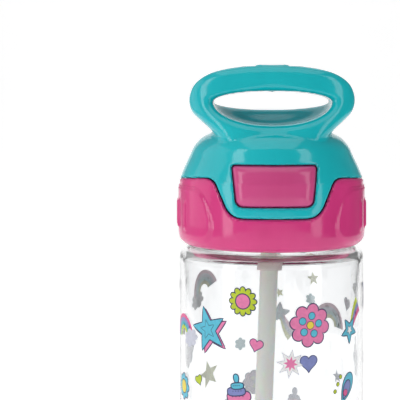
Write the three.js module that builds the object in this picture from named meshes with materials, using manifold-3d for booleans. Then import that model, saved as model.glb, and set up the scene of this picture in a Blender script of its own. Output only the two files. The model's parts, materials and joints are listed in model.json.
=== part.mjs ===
// Kids water bottle with a push-button flip lid, a carry loop and a silicone spout.
// Millimetres, +Z up. The origin is the centre of the foot, on the surface the bottle stands on.
// The button faces -Y and the lid's hinge is at +Y.
import * as THREE from "three";
import { mergeVertices } from "three/addons/utils/BufferGeometryUtils.js";
import Module from "manifold-3d";

const wasm = await Module();
wasm.setup();

// ---------- driving dimensions ----------
const TURN = 2 * Math.PI;
const AROUND = 48; // flats round every large turned surface
const DOME_STEPS = 9; // steps up the lid's curved side
const GAP = 0.3; // clearance between pieces that touch

const BODY_R = 37; // bottle outside
const WALL = 2; // bottle wall
const SHOULDER_Z = 151.6; // top of the bottle's shoulder
const NECK_R = 28.6; // neck outside, under the thread
const RIM_Z = 166; // drinking rim, which the gasket seals on

const THREAD_LEAD = 6; // rise per turn
const THREAD_TURNS = 1.15;
const THREAD_DEPTH = 1.4;
const THREAD_Z = 156.6; // middle of the neck thread at its start
const THREAD_DROP = 1.8; // the cap's thread hooks in this far under the neck's

const CAP_BOTTOM = 152.7; // bottom edge of the pink collar
const PARTING_Z = 178.9; // plane between collar and lid, on the bottle's axis
const PARTING_TILT = 3.2; // degrees that it rises towards the front
const LEAN_IN_Z = 178.8; // where the straight side starts to curve in
const CAP_R = 37.1; // collar and lid skirt outside
const SHELL = 2; // wall of the collar and of the lid
const RIM_R = 33.8; // the collar's upstanding rim, which centres the closed lid
const RIM_RISE = 1.1; // and how far it stands above the parting plane
const BASIN_R = 32; // inner cap outside
const BASIN_WALL = 1.5;
const BASIN_TOP = 177.6;
const DECK_Z = RIM_Z + 2.1; // underside of the deck that closes the bottle
const DECK_T = 2;
const DECK_HOLE_R = 7.3; // the spout's root passes through it
const VENT_Y = 20; // the air valve sits behind the spout

const TAB_BOTTOM = 165.9; // the lid's front tab hangs down over the collar to here
const TAB_SHOULDER = 180.9; // and here its sides flare into the lid's lower edge
const TAB_GAP = 0.35;
const WINDOW = { top: 185.9, bottom: 169.9, halfTop: 16.3, halfBottom: 15.1 };
const BUTTON_GAP = 0.4;
const BUTTON_PROUD = 0.25;
const BUTTON_DEEP = 3.2; // its back lies this far inside the lid's surface

const HINGE = { y: 37.4, z: 177.9, barrelR: 2.4, clearR: 2.9, pinR: 1, half: 12.5 };
const PIN_BORE_R = HINGE.pinR + 0.08;
const COLLAR_KNUCKLE = 9.3; // the collar's outer knuckles reach in to here
const LID_KNUCKLE = { inner: 5.5, outer: 9 };
const SPRING_HALF = 4.4; // half length of the torsion spring's coil
const SPRING_ROOM = { half: 5.2, front: 28, back: 45, under: 2.5, over: 2.9 };

const CATCH = { half: 5.4, low: 171.4, high: 175.2 }; // window in the inner cap that the latch's hook enters
const HOOK = { half: 4, low: 172.2, high: 174.4, front: -29.8, back: -28.4, armBack: -26.4 };
const FRONT = [-50, -15]; // from before the front to behind its wall, in Y

const SPOUT_TOP = 191.5;
const SPOUT_FLANGE_T = 1.8;
const LINER_R = 17.5; // liner under the lid's crown
const LINER_Z = 194.9;
const STRAW_R = 3.65;
const STRAW_BORE = 2.9;
const STRAW_TOP = 148.2;
const STRAW_END = 9.5;
const ADAPTER_LEAN = 1.8; // degrees that the soft spout lets the straw hang to one side
const STRAW_LEAN = 0.5; // and a little more inside its socket

const COLOURS = {
  clear: [0xe9eef0, 0.06, 0],
  teal: [0x2cb8c0, 0.26, 0],
  pink: [0xd04f8c, 0.28, 0],
  darkPink: [0xb23a74, 0.4, 0],
  silicone: [0xf1e6e2, 0.55, 0],
  straw: [0xf2ddd3, 0.3, 0],
  seal: [0xf3f1ee, 0.6, 0],
  steel: [0xb9bcc0, 0.25, 1],
  white: [0xf4f4f4, 0.4, 0],
};

// ---------- solids ----------

// A closed geometry as a manifold solid, turned inside out when its faces point in.
function solid(geometry) {
  const bare = geometry.index ? geometry.toNonIndexed() : geometry.clone();
  const points = new THREE.BufferGeometry();
  points.setAttribute("position", bare.getAttribute("position"));
  const merged = mergeVertices(points, 1e-4);
  const vertProperties = new Float32Array(merged.attributes.position.array);
  const triVerts = new Uint32Array(merged.index.array);
  const make = () => new wasm.Manifold(new wasm.Mesh({ numProp: 3, vertProperties, triVerts }));
  const made = make();
  if (made.volume() >= 0) return made;
  for (let i = 0; i < triVerts.length; i += 3) {
    [triVerts[i], triVerts[i + 1]] = [triVerts[i + 1], triVerts[i]];
  }
  return make();
}

function geometryOf(manifold) {
  const { vertProperties, triVerts, numProp, numVert } = manifold.getMesh();
  const points = new Float32Array(numVert * 3);
  for (let i = 0; i < numVert; i++) {
    points.set(vertProperties.subarray(i * numProp, i * numProp + 3), i * 3);
  }
  const geometry = new THREE.BufferGeometry();
  geometry.setAttribute("position", new THREE.BufferAttribute(points, 3));
  geometry.setIndex(new THREE.BufferAttribute(triVerts, 1));
  geometry.computeVertexNormals();
  return geometry;
}

// A solid of revolution about +Z from [radius, height] points.
// A profile that doesn't end on the axis closes on itself.
function turned(profile, around = AROUND) {
  const onAxis = profile[0][0] === 0 && profile.at(-1)[0] === 0;
  const points = onAxis ? profile : [...profile, profile[0]];
  const lathe = new THREE.LatheGeometry(points.map(([r, z]) => new THREE.Vector2(r, z)), around);
  return solid(lathe.rotateX(Math.PI / 2));
}

const tube = (inner, outer, low, high, around = AROUND) =>
  turned([[inner, low], [outer, low], [outer, high], [inner, high]], around);

const rod = (r, low, high, around = 24) => turned([[0, low], [r, low], [r, high], [0, high]], around);

function block(x0, x1, y0, y1, z0, z1) {
  const box = new THREE.BoxGeometry(x1 - x0, y1 - y0, z1 - z0);
  return solid(box.translate((x0 + x1) / 2, (y0 + y1) / 2, (z0 + z1) / 2));
}

// A Shape drawn in X and Z, as seen from the front, made solid from y0 to y1.
function frontPrism(shape, y0, y1, curveSegments = 6) {
  const flat = new THREE.ExtrudeGeometry(shape, { depth: y1 - y0, bevelEnabled: false, curveSegments });
  return solid(flat.rotateX(Math.PI / 2).translate(0, y1, 0));
}

// A Shape drawn in Y and Z, as seen from +X, made solid from x0 to x1.
function sidePrism(shape, x0, x1, curveSegments = 6) {
  const flat = new THREE.ExtrudeGeometry(shape, { depth: x1 - x0, bevelEnabled: false, curveSegments });
  const sideways = new THREE.Matrix4().makeBasis(
    new THREE.Vector3(0, 1, 0),
    new THREE.Vector3(0, 0, 1),
    new THREE.Vector3(1, 0, 0),
  );
  return solid(flat.applyMatrix4(sideways).translate(x0, 0, 0));
}

// A rod along X at the hinge axis.
function hingeRod(r, x0, x1, around = 24) {
  const along = new THREE.CylinderGeometry(r, r, x1 - x0, around).rotateZ(Math.PI / 2);
  return solid(along.translate((x0 + x1) / 2, HINGE.y, HINGE.z));
}

// A skin through rings of equal point count, capped at its ends.
function loft(rings) {
  const n = rings[0].length;
  const index = [];
  for (let i = 0; i < rings.length - 1; i++) {
    const a = i * n;
    const b = a + n;
    for (let j = 0; j < n; j++) {
      const k = (j + 1) % n;
      index.push(a + j, a + k, b + k, a + j, b + k, b + j);
    }
  }
  const last = (rings.length - 1) * n;
  for (let j = 1; j < n - 1; j++) {
    index.push(0, j + 1, j, last, last + j, last + j + 1);
  }
  const geometry = new THREE.BufferGeometry().setFromPoints(rings.flat());
  geometry.setIndex(index);
  return solid(geometry);
}

// A round wire along a curve, as an extruded polygon.
function wire(curve, r, steps, sides = 6) {
  const section = new THREE.Shape(
    Array.from({ length: sides }, (_, i) => {
      const a = (i / sides) * TURN;
      return new THREE.Vector2(r * Math.cos(a), r * Math.sin(a));
    }),
  );
  return solid(new THREE.ExtrudeGeometry(section, { steps, extrudePath: curve }));
}

// ---------- curves that several pieces share ----------

// Radius of the outside against height, from the top of the straight side up to the crown.
const DOME = new THREE.SplineCurve([
  new THREE.Vector2(CAP_R, LEAN_IN_Z),
  new THREE.Vector2(35.3, 183.4),
  new THREE.Vector2(33.05, 188.2),
  new THREE.Vector2(30.8, 192.7),
  new THREE.Vector2(26.8, 196.4),
  new THREE.Vector2(20, 198.7),
  new THREE.Vector2(10, 199.5),
]);

// Everything under the tilted parting plane, and everything over it, with the plane moved by `lift`.
const aboutParting = (slab, lift) => slab.rotate([-PARTING_TILT, 0, 0]).translate([0, 0, PARTING_Z + lift]);
const underParting = (lift) => aboutParting(block(-60, 60, -60, 60, -60, 0), lift);
const overParting = (lift) => aboutParting(block(-60, 60, -60, 60, 0, 60), lift);

// The wall of the lid's front, tab included, from one height to another, thick from `out` to `into`.
function frontWall(out, into, low, high) {
  const outside = [[CAP_R, low], ...DOME.getPoints(DOME_STEPS).map((p) => [p.x, p.y])];
  const upTo = outside.filter(([, z]) => z <= high);
  const outer = upTo.map(([r, z]) => [r + out, z]);
  const inner = upTo.map(([r, z]) => [r - into, z]).reverse();
  return turned([...outer, ...inner]);
}

// Everything inside the lid's front, `into` deep from its surface.
function frontCore(into, low, high) {
  const outside = [[CAP_R, low], ...DOME.getPoints(DOME_STEPS).map((p) => [p.x, p.y])];
  const inner = outside.filter(([, z]) => z <= high).map(([r, z]) => [r - into, z]);
  return turned([[0, low], ...inner, [0, inner.at(-1)[1]]]);
}

// Outline of the tab, drawn from its top left corner down and round; `grow` widens it.
function tabOutline(grow, top) {
  const shape = new THREE.Shape();
  const half = (w) => w + grow;
  const low = TAB_BOTTOM - grow;
  const shoulder = TAB_SHOULDER - grow;
  shape.moveTo(-half(26.5), top);
  shape.lineTo(-half(26.5), shoulder);
  shape.quadraticCurveTo(-half(23.2), shoulder - 0.2, -half(21.9), shoulder - 2.5);
  shape.lineTo(-half(18.9), shoulder - 9.7);
  shape.quadraticCurveTo(-half(16.9), low, -11.8, low);
  shape.lineTo(11.8, low);
  shape.quadraticCurveTo(half(16.9), low, half(18.9), shoulder - 9.7);
  shape.lineTo(half(21.9), shoulder - 2.5);
  shape.quadraticCurveTo(half(23.2), shoulder - 0.2, half(26.5), shoulder);
  shape.lineTo(half(26.5), top);
  return shape;
}

// Outline of the button's window: a trapezoid with large lower corners; `grow` widens it.
function windowOutline(grow) {
  const top = WINDOW.top + grow;
  const low = WINDOW.bottom - grow;
  const wide = WINDOW.halfTop + grow;
  const narrow = WINDOW.halfBottom + grow;
  const small = 1.4;
  const large = 3.4;
  const shape = new THREE.Shape();
  shape.moveTo(-wide + small, top);
  shape.quadraticCurveTo(-wide, top, -wide, top - small);
  shape.lineTo(-narrow, low + large);
  shape.quadraticCurveTo(-narrow, low, -narrow + large, low);
  shape.lineTo(narrow - large, low);
  shape.quadraticCurveTo(narrow, low, narrow, low + large);
  shape.lineTo(wide, top - small);
  shape.quadraticCurveTo(wide, top, wide - small, top);
  return shape;
}

// One helical thread. `side` is 1 where it stands out of a neck, -1 where it stands into a cap.
function thread(rootR, side, startZ) {
  const stepsPerTurn = 36;
  const steps = Math.round(THREAD_TURNS * stepsPerTurn);
  const fade = 4; // steps over which each end rises from the wall
  const halfRoot = 1.2;
  const halfTip = 0.5;
  const buried = 0.35;
  const rings = [];
  for (let i = 0; i <= steps; i++) {
    const a = (i / stepsPerTurn) * TURN;
    const z = startZ + (i / stepsPerTurn) * THREAD_LEAD;
    const rise = Math.min(1, (i + 0.3) / fade, (steps - i + 0.3) / fade);
    const at = (r, dz) => new THREE.Vector3(r * Math.cos(a), r * Math.sin(a), z + dz);
    const root = rootR - side * buried;
    const tip = rootR + side * THREAD_DEPTH * rise;
    rings.push([at(root, -halfRoot), at(tip, -halfTip), at(tip, halfTip), at(root, halfRoot)]);
  }
  return loft(rings);
}

// ---------- the bottle ----------

function bottleBody() {
  const shoulderR = 4.6;
  const footR = 5;
  const arc = (r, z, radius, from, to, steps) =>
    Array.from({ length: steps + 1 }, (_, i) => {
      const a = THREE.MathUtils.degToRad(from + ((to - from) * i) / steps);
      return [r + radius * Math.cos(a), z + radius * Math.sin(a)];
    });
  const inside = BODY_R - WALL;
  const profile = [
    [0, 2.4],
    [18, 1.9],
    [25, 0],
    ...arc(BODY_R - footR, footR, footR, -90, 0, 3),
    ...arc(BODY_R - shoulderR, SHOULDER_Z - shoulderR, shoulderR, 0, 90, 4),
    [NECK_R + 0.9, SHOULDER_Z + 0.3],
    [NECK_R, SHOULDER_Z + 1.2],
    [NECK_R, RIM_Z - 0.5],
    [NECK_R - 0.5, RIM_Z],
    [NECK_R - WALL + 0.5, RIM_Z],
    [NECK_R - WALL, RIM_Z - 0.5],
    [NECK_R - WALL, SHOULDER_Z - 0.6],
    [NECK_R - WALL + 1.6, SHOULDER_Z - 1.9],
    ...arc(inside - 3.4, SHOULDER_Z - WALL - 3.4, 3.4, 90, 0, 2),
    ...arc(inside - 4, 7.2, 4, 0, -90, 2),
    [18, 4.6],
    [0, 5.2],
  ];
  return turned(profile).add(thread(NECK_R, 1, THREAD_Z));
}

const neckGasket = () => tube(NECK_R - 1.7, NECK_R + 0.8, RIM_Z + GAP, DECK_Z - GAP);

// ---------- the screw cap ----------

// The raised pads that a hand grips, one on each side, with upright ribs.
function gripPads() {
  const low = CAP_BOTTOM + 2.5;
  const high = CAP_BOTTOM + 23.6;
  const front = 28.6; // the pad reaches this far forward and back
  const shape = new THREE.Shape();
  shape.moveTo(0, low);
  shape.lineTo(front - 8, low);
  shape.quadraticCurveTo(front + 1, low, front, low + 9);
  shape.quadraticCurveTo(front - 2, high, front - 8, high);
  shape.lineTo(-front + 8, high);
  shape.quadraticCurveTo(-front + 2, high, -front, low + 9);
  shape.quadraticCurveTo(-front - 1, low, -front + 8, low);
  const padR = CAP_R + 0.6;
  const band = turned([
    [CAP_R - 1, low],
    [padR - 0.5, low],
    [padR, low + 1.2],
    [padR, high - 1],
    [CAP_R, high],
    [CAP_R - 1, high],
  ]);
  const ribR = 0.8;
  const ribs = [];
  for (const side of [0, 180]) {
    for (const degrees of [-24, -12, 0, 12, 24]) {
      const a = THREE.MathUtils.degToRad(side + degrees);
      const rib = new THREE.CapsuleGeometry(ribR, 9.5, 2, 6).rotateX(Math.PI / 2);
      ribs.push(solid(rib.translate(padR * Math.cos(a), padR * Math.sin(a), 165.6)));
    }
  }
  const pads = band.intersect(sidePrism(shape, -40, 40));
  return ribs.reduce((all, rib) => all.add(rib), pads);
}

function collarKnuckle(x0, x1) {
  const { y, z, barrelR } = HINGE;
  const shape = new THREE.Shape();
  shape.moveTo(y + barrelR, z);
  shape.absarc(y, z, barrelR, 0, Math.PI, false);
  shape.lineTo(y - barrelR, z - 9);
  shape.lineTo(y - 0.6, z - 9);
  shape.lineTo(y + 1.8, z - 2.3);
  return sidePrism(shape, x0, x1);
}

function screwCollar() {
  const flange = 2;
  const inside = BASIN_R + GAP;
  const high = 186;
  const skirt = turned([
    [32.6, CAP_BOTTOM],
    [34.8, CAP_BOTTOM + 0.6],
    [36.2, CAP_BOTTOM + 1.9],
    [36.9, CAP_BOTTOM + 4.6],
    [CAP_R, CAP_BOTTOM + 8],
    [CAP_R, LEAN_IN_Z - 1],
    [CAP_R - SHELL, LEAN_IN_Z - 1],
    [CAP_R - SHELL, CAP_BOTTOM + 5],
    [34.4, CAP_BOTTOM + 2.6],
    [32.6, CAP_BOTTOM + 1.6],
  ]);
  const core = frontCore(0.6, TAB_BOTTOM - 2.2, high).subtract(rod(inside, 150, 200, AROUND));
  const bossHalf = 28; // the collar is solid behind the tab
  const bossBlock = block(-bossHalf, bossHalf, -45, -18, 150, 190);
  const shell = skirt
    .add(frontWall(0, SHELL, LEAN_IN_Z - 4, high))
    .add(core.subtract(underParting(-flange)))
    .add(core.intersect(bossBlock))
    .intersect(underParting(0));
  const rim = tube(inside, RIM_R, 170, high)
    .intersect(underParting(RIM_RISE))
    .subtract(block(-bossHalf - 0.4, bossHalf + 0.4, -45, 0, 150, 190));
  const notch = frontPrism(tabOutline(TAB_GAP, 190), ...FRONT);
  const { half, front, back, under } = SPRING_ROOM;
  const springSlot = block(-half, half, front, back, HINGE.z - under, HINGE.z + 2);
  const hollow = shell
    .add(rim)
    .add(gripPads())
    .subtract(notch)
    .subtract(springSlot)
    .subtract(hingeRod(HINGE.clearR, -HINGE.half - 0.4, HINGE.half + 0.4));
  return hollow
    .add(collarKnuckle(-HINGE.half, -COLLAR_KNUCKLE))
    .add(collarKnuckle(COLLAR_KNUCKLE, HINGE.half))
    .subtract(hingeRod(PIN_BORE_R, -20, 20));
}

// The threaded inner cap: skirt, deck, the basin round the spout and the latch's catch.
function innerCap() {
  const inside = BASIN_R - BASIN_WALL;
  const deckTop = DECK_Z + DECK_T;
  const body = turned([
    [inside, CAP_BOTTOM + 0.8],
    [BASIN_R, CAP_BOTTOM + 0.8],
    [BASIN_R, BASIN_TOP],
    [inside, BASIN_TOP],
    [inside, deckTop],
    [11.2, deckTop],
    [11.2, deckTop + 4],
    [9.7, deckTop + 4],
    [9.7, deckTop],
    [DECK_HOLE_R, deckTop],
    [DECK_HOLE_R, DECK_Z],
    [inside, DECK_Z],
  ]);
  const catchWindow = block(-CATCH.half, CATCH.half, -36, -28, CATCH.low, CATCH.high);
  const ventHole = rod(2, DECK_Z - 1, deckTop + 1, 16);
  return body
    .add(thread(inside, -1, THREAD_Z - THREAD_DROP))
    .subtract(catchWindow)
    .subtract(ventHole.translate([0, VENT_Y, 0]));
}

function ventValve() {
  const top = DECK_Z + DECK_T;
  const valve = turned(
    [
      [0, DECK_Z - 1.3],
      [4.2, DECK_Z - 0.9],
      [4.2, DECK_Z - GAP],
      [1.7, DECK_Z - GAP],
      [1.7, top + GAP],
      [2.7, top + GAP],
      [1.4, top + 1.9],
      [0, top + 1.9],
    ],
    20,
  );
  return valve.translate([0, VENT_Y, 0]);
}

// ---------- the drinking path ----------

function spout() {
  const root = DECK_Z + DECK_T + GAP;
  return turned(
    [
      [4, DECK_Z + GAP],
      [DECK_HOLE_R - 0.4, DECK_Z + GAP],
      [DECK_HOLE_R - 0.4, root],
      [9.3, root],
      [9.3, root + SPOUT_FLANGE_T],
      [7.1, root + SPOUT_FLANGE_T],
      [7, root + 4.6],
      [6.6, root + 8],
      [7.3, SPOUT_TOP - 5],
      [7.2, SPOUT_TOP - 2.4],
      [5.6, SPOUT_TOP - 0.4],
      [4.2, SPOUT_TOP],
      [2.4, SPOUT_TOP],
      [2.4, SPOUT_TOP - 3],
      [4, SPOUT_TOP - 5],
    ],
    32,
  );
}

// The rigid ring that clamps the spout's flange into the deck.
function spoutRing() {
  const low = DECK_Z + DECK_T + GAP + SPOUT_FLANGE_T + GAP;
  return turned([[7.4, low], [9.4, low], [9.4, low + 1.1], [8.9, low + 1.6], [7.4, low + 1.6]], 32);
}

function strawAdapter() {
  return turned(
    [
      [2.6, 176],
      [3.3, 176],
      [3.6, 174.5],
      [3.6, DECK_Z - 0.7],
      [9.2, DECK_Z - 0.7],
      [9.2, DECK_Z - 2.3],
      [5.05, DECK_Z - 3.4],
      [5.05, 143],
      [4.8, 142.8],
      [STRAW_R + GAP + 0.1, 142.8],
      [STRAW_R + GAP, STRAW_TOP + GAP],
      [2.6, STRAW_TOP + GAP + 1],
    ],
    24,
  );
}

const straw = () => tube(STRAW_BORE, STRAW_R, STRAW_END, STRAW_TOP, 24);

// ---------- the flip lid ----------

// Level sections of the lid's top, from inside the crown through the flared neck to the loop's top.
// Each grows rounder in plan as its `power` falls towards 2.
const GRIP = [
  { z: 192, half: 21.8, front: -24.5, back: 14, power: 4.5 },
  { z: 196, half: 22.2, front: -25.3, back: 14, power: 4.5 },
  { z: 199, half: 24.5, front: -24.8, back: 13.6, power: 4.2 },
  { z: 202.5, half: 28.4, front: -23.4, back: 12.6, power: 3.6 },
  { z: 206, half: 31.8, front: -21.9, back: 10.6, power: 3 },
  { z: 210, half: 33, front: -20.3, back: 6.5, power: 2.6 },
  { z: 214, half: 32.3, front: -18.9, back: 1.5, power: 2.4 },
  { z: 217.3, half: 30.4, front: -18, back: -1.5, power: 2.3 },
  { z: 220.2, half: 26.6, front: -17.4, back: -4, power: 2.2 },
  { z: 222.4, half: 21, front: -16.3, back: -5.5, power: 2.2 },
  { z: 223.9, half: 12.5, front: -14.6, back: -7.5, power: 2.2 },
  { z: 224.5, half: 5, front: -12.8, back: -9.5, power: 2.2 },
];

const powerOf = (c, power) => Math.sign(c) * Math.abs(c) ** power;

function gripBlank() {
  const count = 40;
  const rings = GRIP.map(({ z, half, front, back, power }) =>
    Array.from({ length: count }, (_, i) => {
      const t = (i / count) * TURN;
      const y = (front + back) / 2 + ((back - front) / 2) * powerOf(Math.sin(t), 2 / power);
      return new THREE.Vector3(half * powerOf(Math.cos(t), 2 / power), y, z);
    }),
  );
  return loft(rings);
}

// The finger opening, from front to back. Its floor starts low at the front lip and curves up to the back rim.
const FINGER = {
  z: 210.1, // where it is widest
  up: 4,
  front: -25, // its sizes change from here
  back: 10, // to here
  halfFront: 23.4,
  halfBack: 23,
  downFront: 9.6,
  downBack: 3.2,
  dish: 1.4, // how hollow the floor is from front to back
};

function fingerHole() {
  const count = 36;
  const rings = [-40, -25, -18, -12, -6, -2, 2, 6, 10, 25].map((y) => {
    const { z, up, halfFront, halfBack, front, back, downFront, downBack, dish } = FINGER;
    const share = THREE.MathUtils.clamp((y - front) / (back - front), 0, 1);
    const half = halfFront + (halfBack - halfFront) * share;
    const down = downFront + (downBack - downFront) * share ** dish;
    return Array.from({ length: count }, (_, i) => {
      const t = (i / count) * TURN;
      const high = Math.sin(t);
      return new THREE.Vector3(half * Math.cos(t), y, z + high * (high > 0 ? up : down));
    });
  });
  return loft(rings);
}

function lidKnuckle(x0, x1) {
  const { y, z, barrelR } = HINGE;
  const shape = new THREE.Shape();
  shape.moveTo(y - barrelR, z);
  shape.absarc(y, z, barrelR, Math.PI, TURN, false);
  shape.lineTo(y + 1.2, z + 3.2);
  shape.lineTo(y - 3.6, z + 8);
  shape.lineTo(y - 6.2, z + 8);
  shape.lineTo(y - 3.4, z + 3.4);
  return sidePrism(shape, x0, x1);
}

const BRACKET = { y: -17, t: 1.6, half: 14.6, top: 191.6, bottom: 180 };
const SCREWS_AT = [-9.5, 9.5];
const SCREW_Y = -21.5;

function flipLid() {
  const crown = 199.7;
  const outside = DOME.getPoints(DOME_STEPS).map((p) => [p.x, p.y]);
  const low = LEAN_IN_Z - 12;
  const dome = turned([[0, low], [CAP_R, low], ...outside, [0, crown]]).intersect(overParting(GAP));
  const inside = outside.filter(([r]) => r > 15).map(([r, z]) => [r - SHELL, z - (z > 194 ? 1.9 : 0)]);
  const hollow = turned([
    [0, low - 1],
    [CAP_R - SHELL, low - 1],
    ...inside,
    [14, crown - 2.6],
    [0, crown - 2.6],
  ]);
  const tab = frontWall(0, SHELL, TAB_BOTTOM, 186).intersect(frontPrism(tabOutline(0, 184), ...FRONT));
  const bosses = SCREWS_AT.map((x) => rod(2.6, BRACKET.top + GAP, 196, 12).translate([x, SCREW_Y, 0]));
  const pilots = SCREWS_AT.map((x) => rod(1.2, BRACKET.top, 195.9, 8).translate([x, SCREW_Y, 0]));
  const linerRim = tube(LINER_R + GAP, LINER_R + 1.7, LINER_Z - 0.6, 197.8, 32);
  const window = frontPrism(windowOutline(0), -50, -20);
  const { half, front, back, over } = SPRING_ROOM;
  const springRoom = block(-half, half, front, back, low, HINGE.z + over);
  const shell = dome
    .add(gripBlank().subtract(fingerHole()))
    .subtract(hollow)
    .add(tab)
    .subtract(window)
    .subtract(springRoom)
    .subtract(hingeRod(HINGE.clearR, -HINGE.half - 0.4, HINGE.half + 0.4));
  const { inner, outer } = LID_KNUCKLE;
  const kept = [...bosses, linerRim, lidKnuckle(-outer, -inner), lidKnuckle(inner, outer)];
  return kept
    .reduce((all, piece) => all.add(piece), shell)
    .subtract(pilots[0])
    .subtract(pilots[1])
    .subtract(hingeRod(PIN_BORE_R, -20, 20));
}

// The liner snapped under the crown, with the socket that holds the plug.
function lidLiner() {
  const socket = LINER_Z - 1.8;
  return turned(
    [
      [0, LINER_Z],
      [9.5, LINER_Z],
      [9.5, socket],
      [10.8, socket],
      [10.8, LINER_Z],
      [LINER_R, LINER_Z],
      [LINER_R, LINER_Z + 1.2],
      [0, LINER_Z + 1.2],
    ],
    32,
  );
}

// The silicone plug that the closed lid presses on the spout.
function spoutPlug() {
  return turned(
    [
      [0, SPOUT_TOP + GAP],
      [7.6, SPOUT_TOP + GAP],
      [9.2, SPOUT_TOP + 1.2],
      [9.2, LINER_Z - GAP],
      [0, LINER_Z - GAP],
    ],
    32,
  );
}

// ---------- the latch ----------

function pushButton() {
  const high = 187.6;
  const face = frontWall(BUTTON_PROUD, BUTTON_DEEP, WINDOW.bottom - 2, high);
  const flange = frontWall(-2.2, BUTTON_DEEP, WINDOW.bottom - 2, high);
  return face
    .intersect(frontPrism(windowOutline(-BUTTON_GAP), ...FRONT))
    .add(flange.intersect(frontPrism(windowOutline(1), ...FRONT)));
}

const SPRINGS_AT = [-7, 7];
const SPRING_Z = 181.3;
const SLIDER = { back: -22.4, low: 179, high: 183.6, half: 11.5 };

// The latch slider behind the button: a plate with a hook that reaches down into the basin.
function latchSlider() {
  const slab = block(-SLIDER.half, SLIDER.half, -40, SLIDER.back, SLIDER.low, SLIDER.high);
  const plate = slab.intersect(frontCore(BUTTON_DEEP + GAP, SLIDER.low - 1, SLIDER.high + 3));
  const arm = block(-HOOK.half, HOOK.half, HOOK.back - 0.2, HOOK.armBack, HOOK.low, SLIDER.low + 0.5);
  const hook = block(-HOOK.half, HOOK.half, HOOK.front, HOOK.back, HOOK.low, HOOK.high);
  const pockets = SPRINGS_AT.map((x) => {
    const pocket = new THREE.CylinderGeometry(2.6, 2.6, 4, 16).translate(x, SLIDER.back, SPRING_Z);
    return solid(pocket);
  });
  return plate.add(arm).add(hook).subtract(pockets[0]).subtract(pockets[1]);
}

function buttonSpring(x) {
  const from = SLIDER.back - 2 + GAP;
  const to = BRACKET.y - GAP;
  const coils = 4;
  const coilR = 1.9;
  const wireR = 0.35;
  class Helix extends THREE.Curve {
    getPoint(t, target = new THREE.Vector3()) {
      const a = t * coils * TURN;
      const y = from + wireR + (to - from - 2 * wireR) * t;
      return target.set(x + coilR * Math.cos(a), y, SPRING_Z + coilR * Math.sin(a));
    }
  }
  return wire(new Helix(), wireR, coils * 9);
}

function latchBracket() {
  const { y, t, half, top, bottom } = BRACKET;
  const wall = block(-half, half, y, y + t, bottom, top);
  const roof = block(-half, half, y - 6.6, y + 0.5, top - t, top);
  const cheeks = [-1, 1].map((s) => {
    const [x0, x1] = [s * (half - t), s * half].sort((a, b) => a - b);
    return block(x0, x1, y - 8, y + 0.5, bottom, top);
  });
  const holes = SCREWS_AT.map((x) => rod(1.3, top - 3, top + 1, 12).translate([x, SCREW_Y, 0]));
  return wall.add(roof).add(cheeks[0]).add(cheeks[1]).subtract(holes[0]).subtract(holes[1]);
}

function bracketScrew(x) {
  const underHead = BRACKET.top - BRACKET.t - GAP;
  const screw = turned(
    [
      [0, underHead - 1.2],
      [1.5, underHead - 1.2],
      [2, underHead - 0.7],
      [2, underHead],
      [0.9, underHead],
      [0.9, 195],
      [0, 195.6],
    ],
    12,
  );
  return screw.translate([x, SCREW_Y, 0]);
}

// ---------- the hinge ----------

const hingePin = () => hingeRod(HINGE.pinR, -HINGE.half - 0.1, HINGE.half + 0.1);

// Torsion spring round the pin: one leg lies in the collar's slot, the other lifts the lid.
function hingeSpring() {
  const coilR = 1.75;
  const wireR = 0.32;
  const coils = 6;
  const reach = 4.8;
  class Torsion extends THREE.Curve {
    getPoint(t, target = new THREE.Vector3()) {
      const legs = 0.1;
      const bend = (coils + 0.5) * TURN;
      const a = Math.min(Math.max((t - legs) / (1 - 2 * legs), 0), 1) * bend;
      const x = -SPRING_HALF + (2 * SPRING_HALF * a) / bend;
      const start = Math.max(0, 1 - t / legs) * reach;
      const end = Math.max(0, (t - 1 + legs) / legs) * reach;
      const along = start + end;
      return target.set(x, HINGE.y - coilR * Math.sin(a) - along, HINGE.z - coilR * Math.cos(a));
    }
  }
  return wire(new Torsion(), wireR, 68);
}

// ---------- assembly ----------

function node(name, manifold, [color, roughness, metalness]) {
  const material = new THREE.MeshStandardMaterial({ color, roughness, metalness });
  const mesh = new THREE.Mesh(geometryOf(manifold), material);
  mesh.name = name;
  return mesh;
}

const bottle = new THREE.Group();
bottle.add(node("bottle_body", bottleBody(), COLOURS.clear));
bottle.add(node("neck_gasket", neckGasket(), COLOURS.seal));

const cap = new THREE.Group();
cap.add(node("screw_collar", screwCollar(), COLOURS.pink));
cap.add(node("inner_cap", innerCap(), COLOURS.darkPink));
cap.add(node("spout", spout(), COLOURS.silicone));
cap.add(node("spout_ring", spoutRing(), COLOURS.darkPink));
cap.add(node("vent_valve", ventValve(), COLOURS.seal));
cap.add(node("hinge_pin", hingePin(), COLOURS.steel));
cap.add(node("hinge_spring", hingeSpring(), COLOURS.steel));

// The adapter and straw hang a little to one side from the soft spout.
const hanging = new THREE.Group();
hanging.position.z = DECK_Z;
hanging.rotation.y = THREE.MathUtils.degToRad(ADAPTER_LEAN);
const adapter = node("straw_adapter", strawAdapter(), COLOURS.silicone);
adapter.position.z = -DECK_Z;
const looseStraw = new THREE.Group();
looseStraw.position.z = STRAW_TOP - DECK_Z;
looseStraw.rotation.y = THREE.MathUtils.degToRad(STRAW_LEAN);
const strawTube = node("straw", straw(), COLOURS.straw);
strawTube.position.z = -STRAW_TOP;
looseStraw.add(strawTube);
hanging.add(adapter, looseStraw);
cap.add(hanging);

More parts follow.
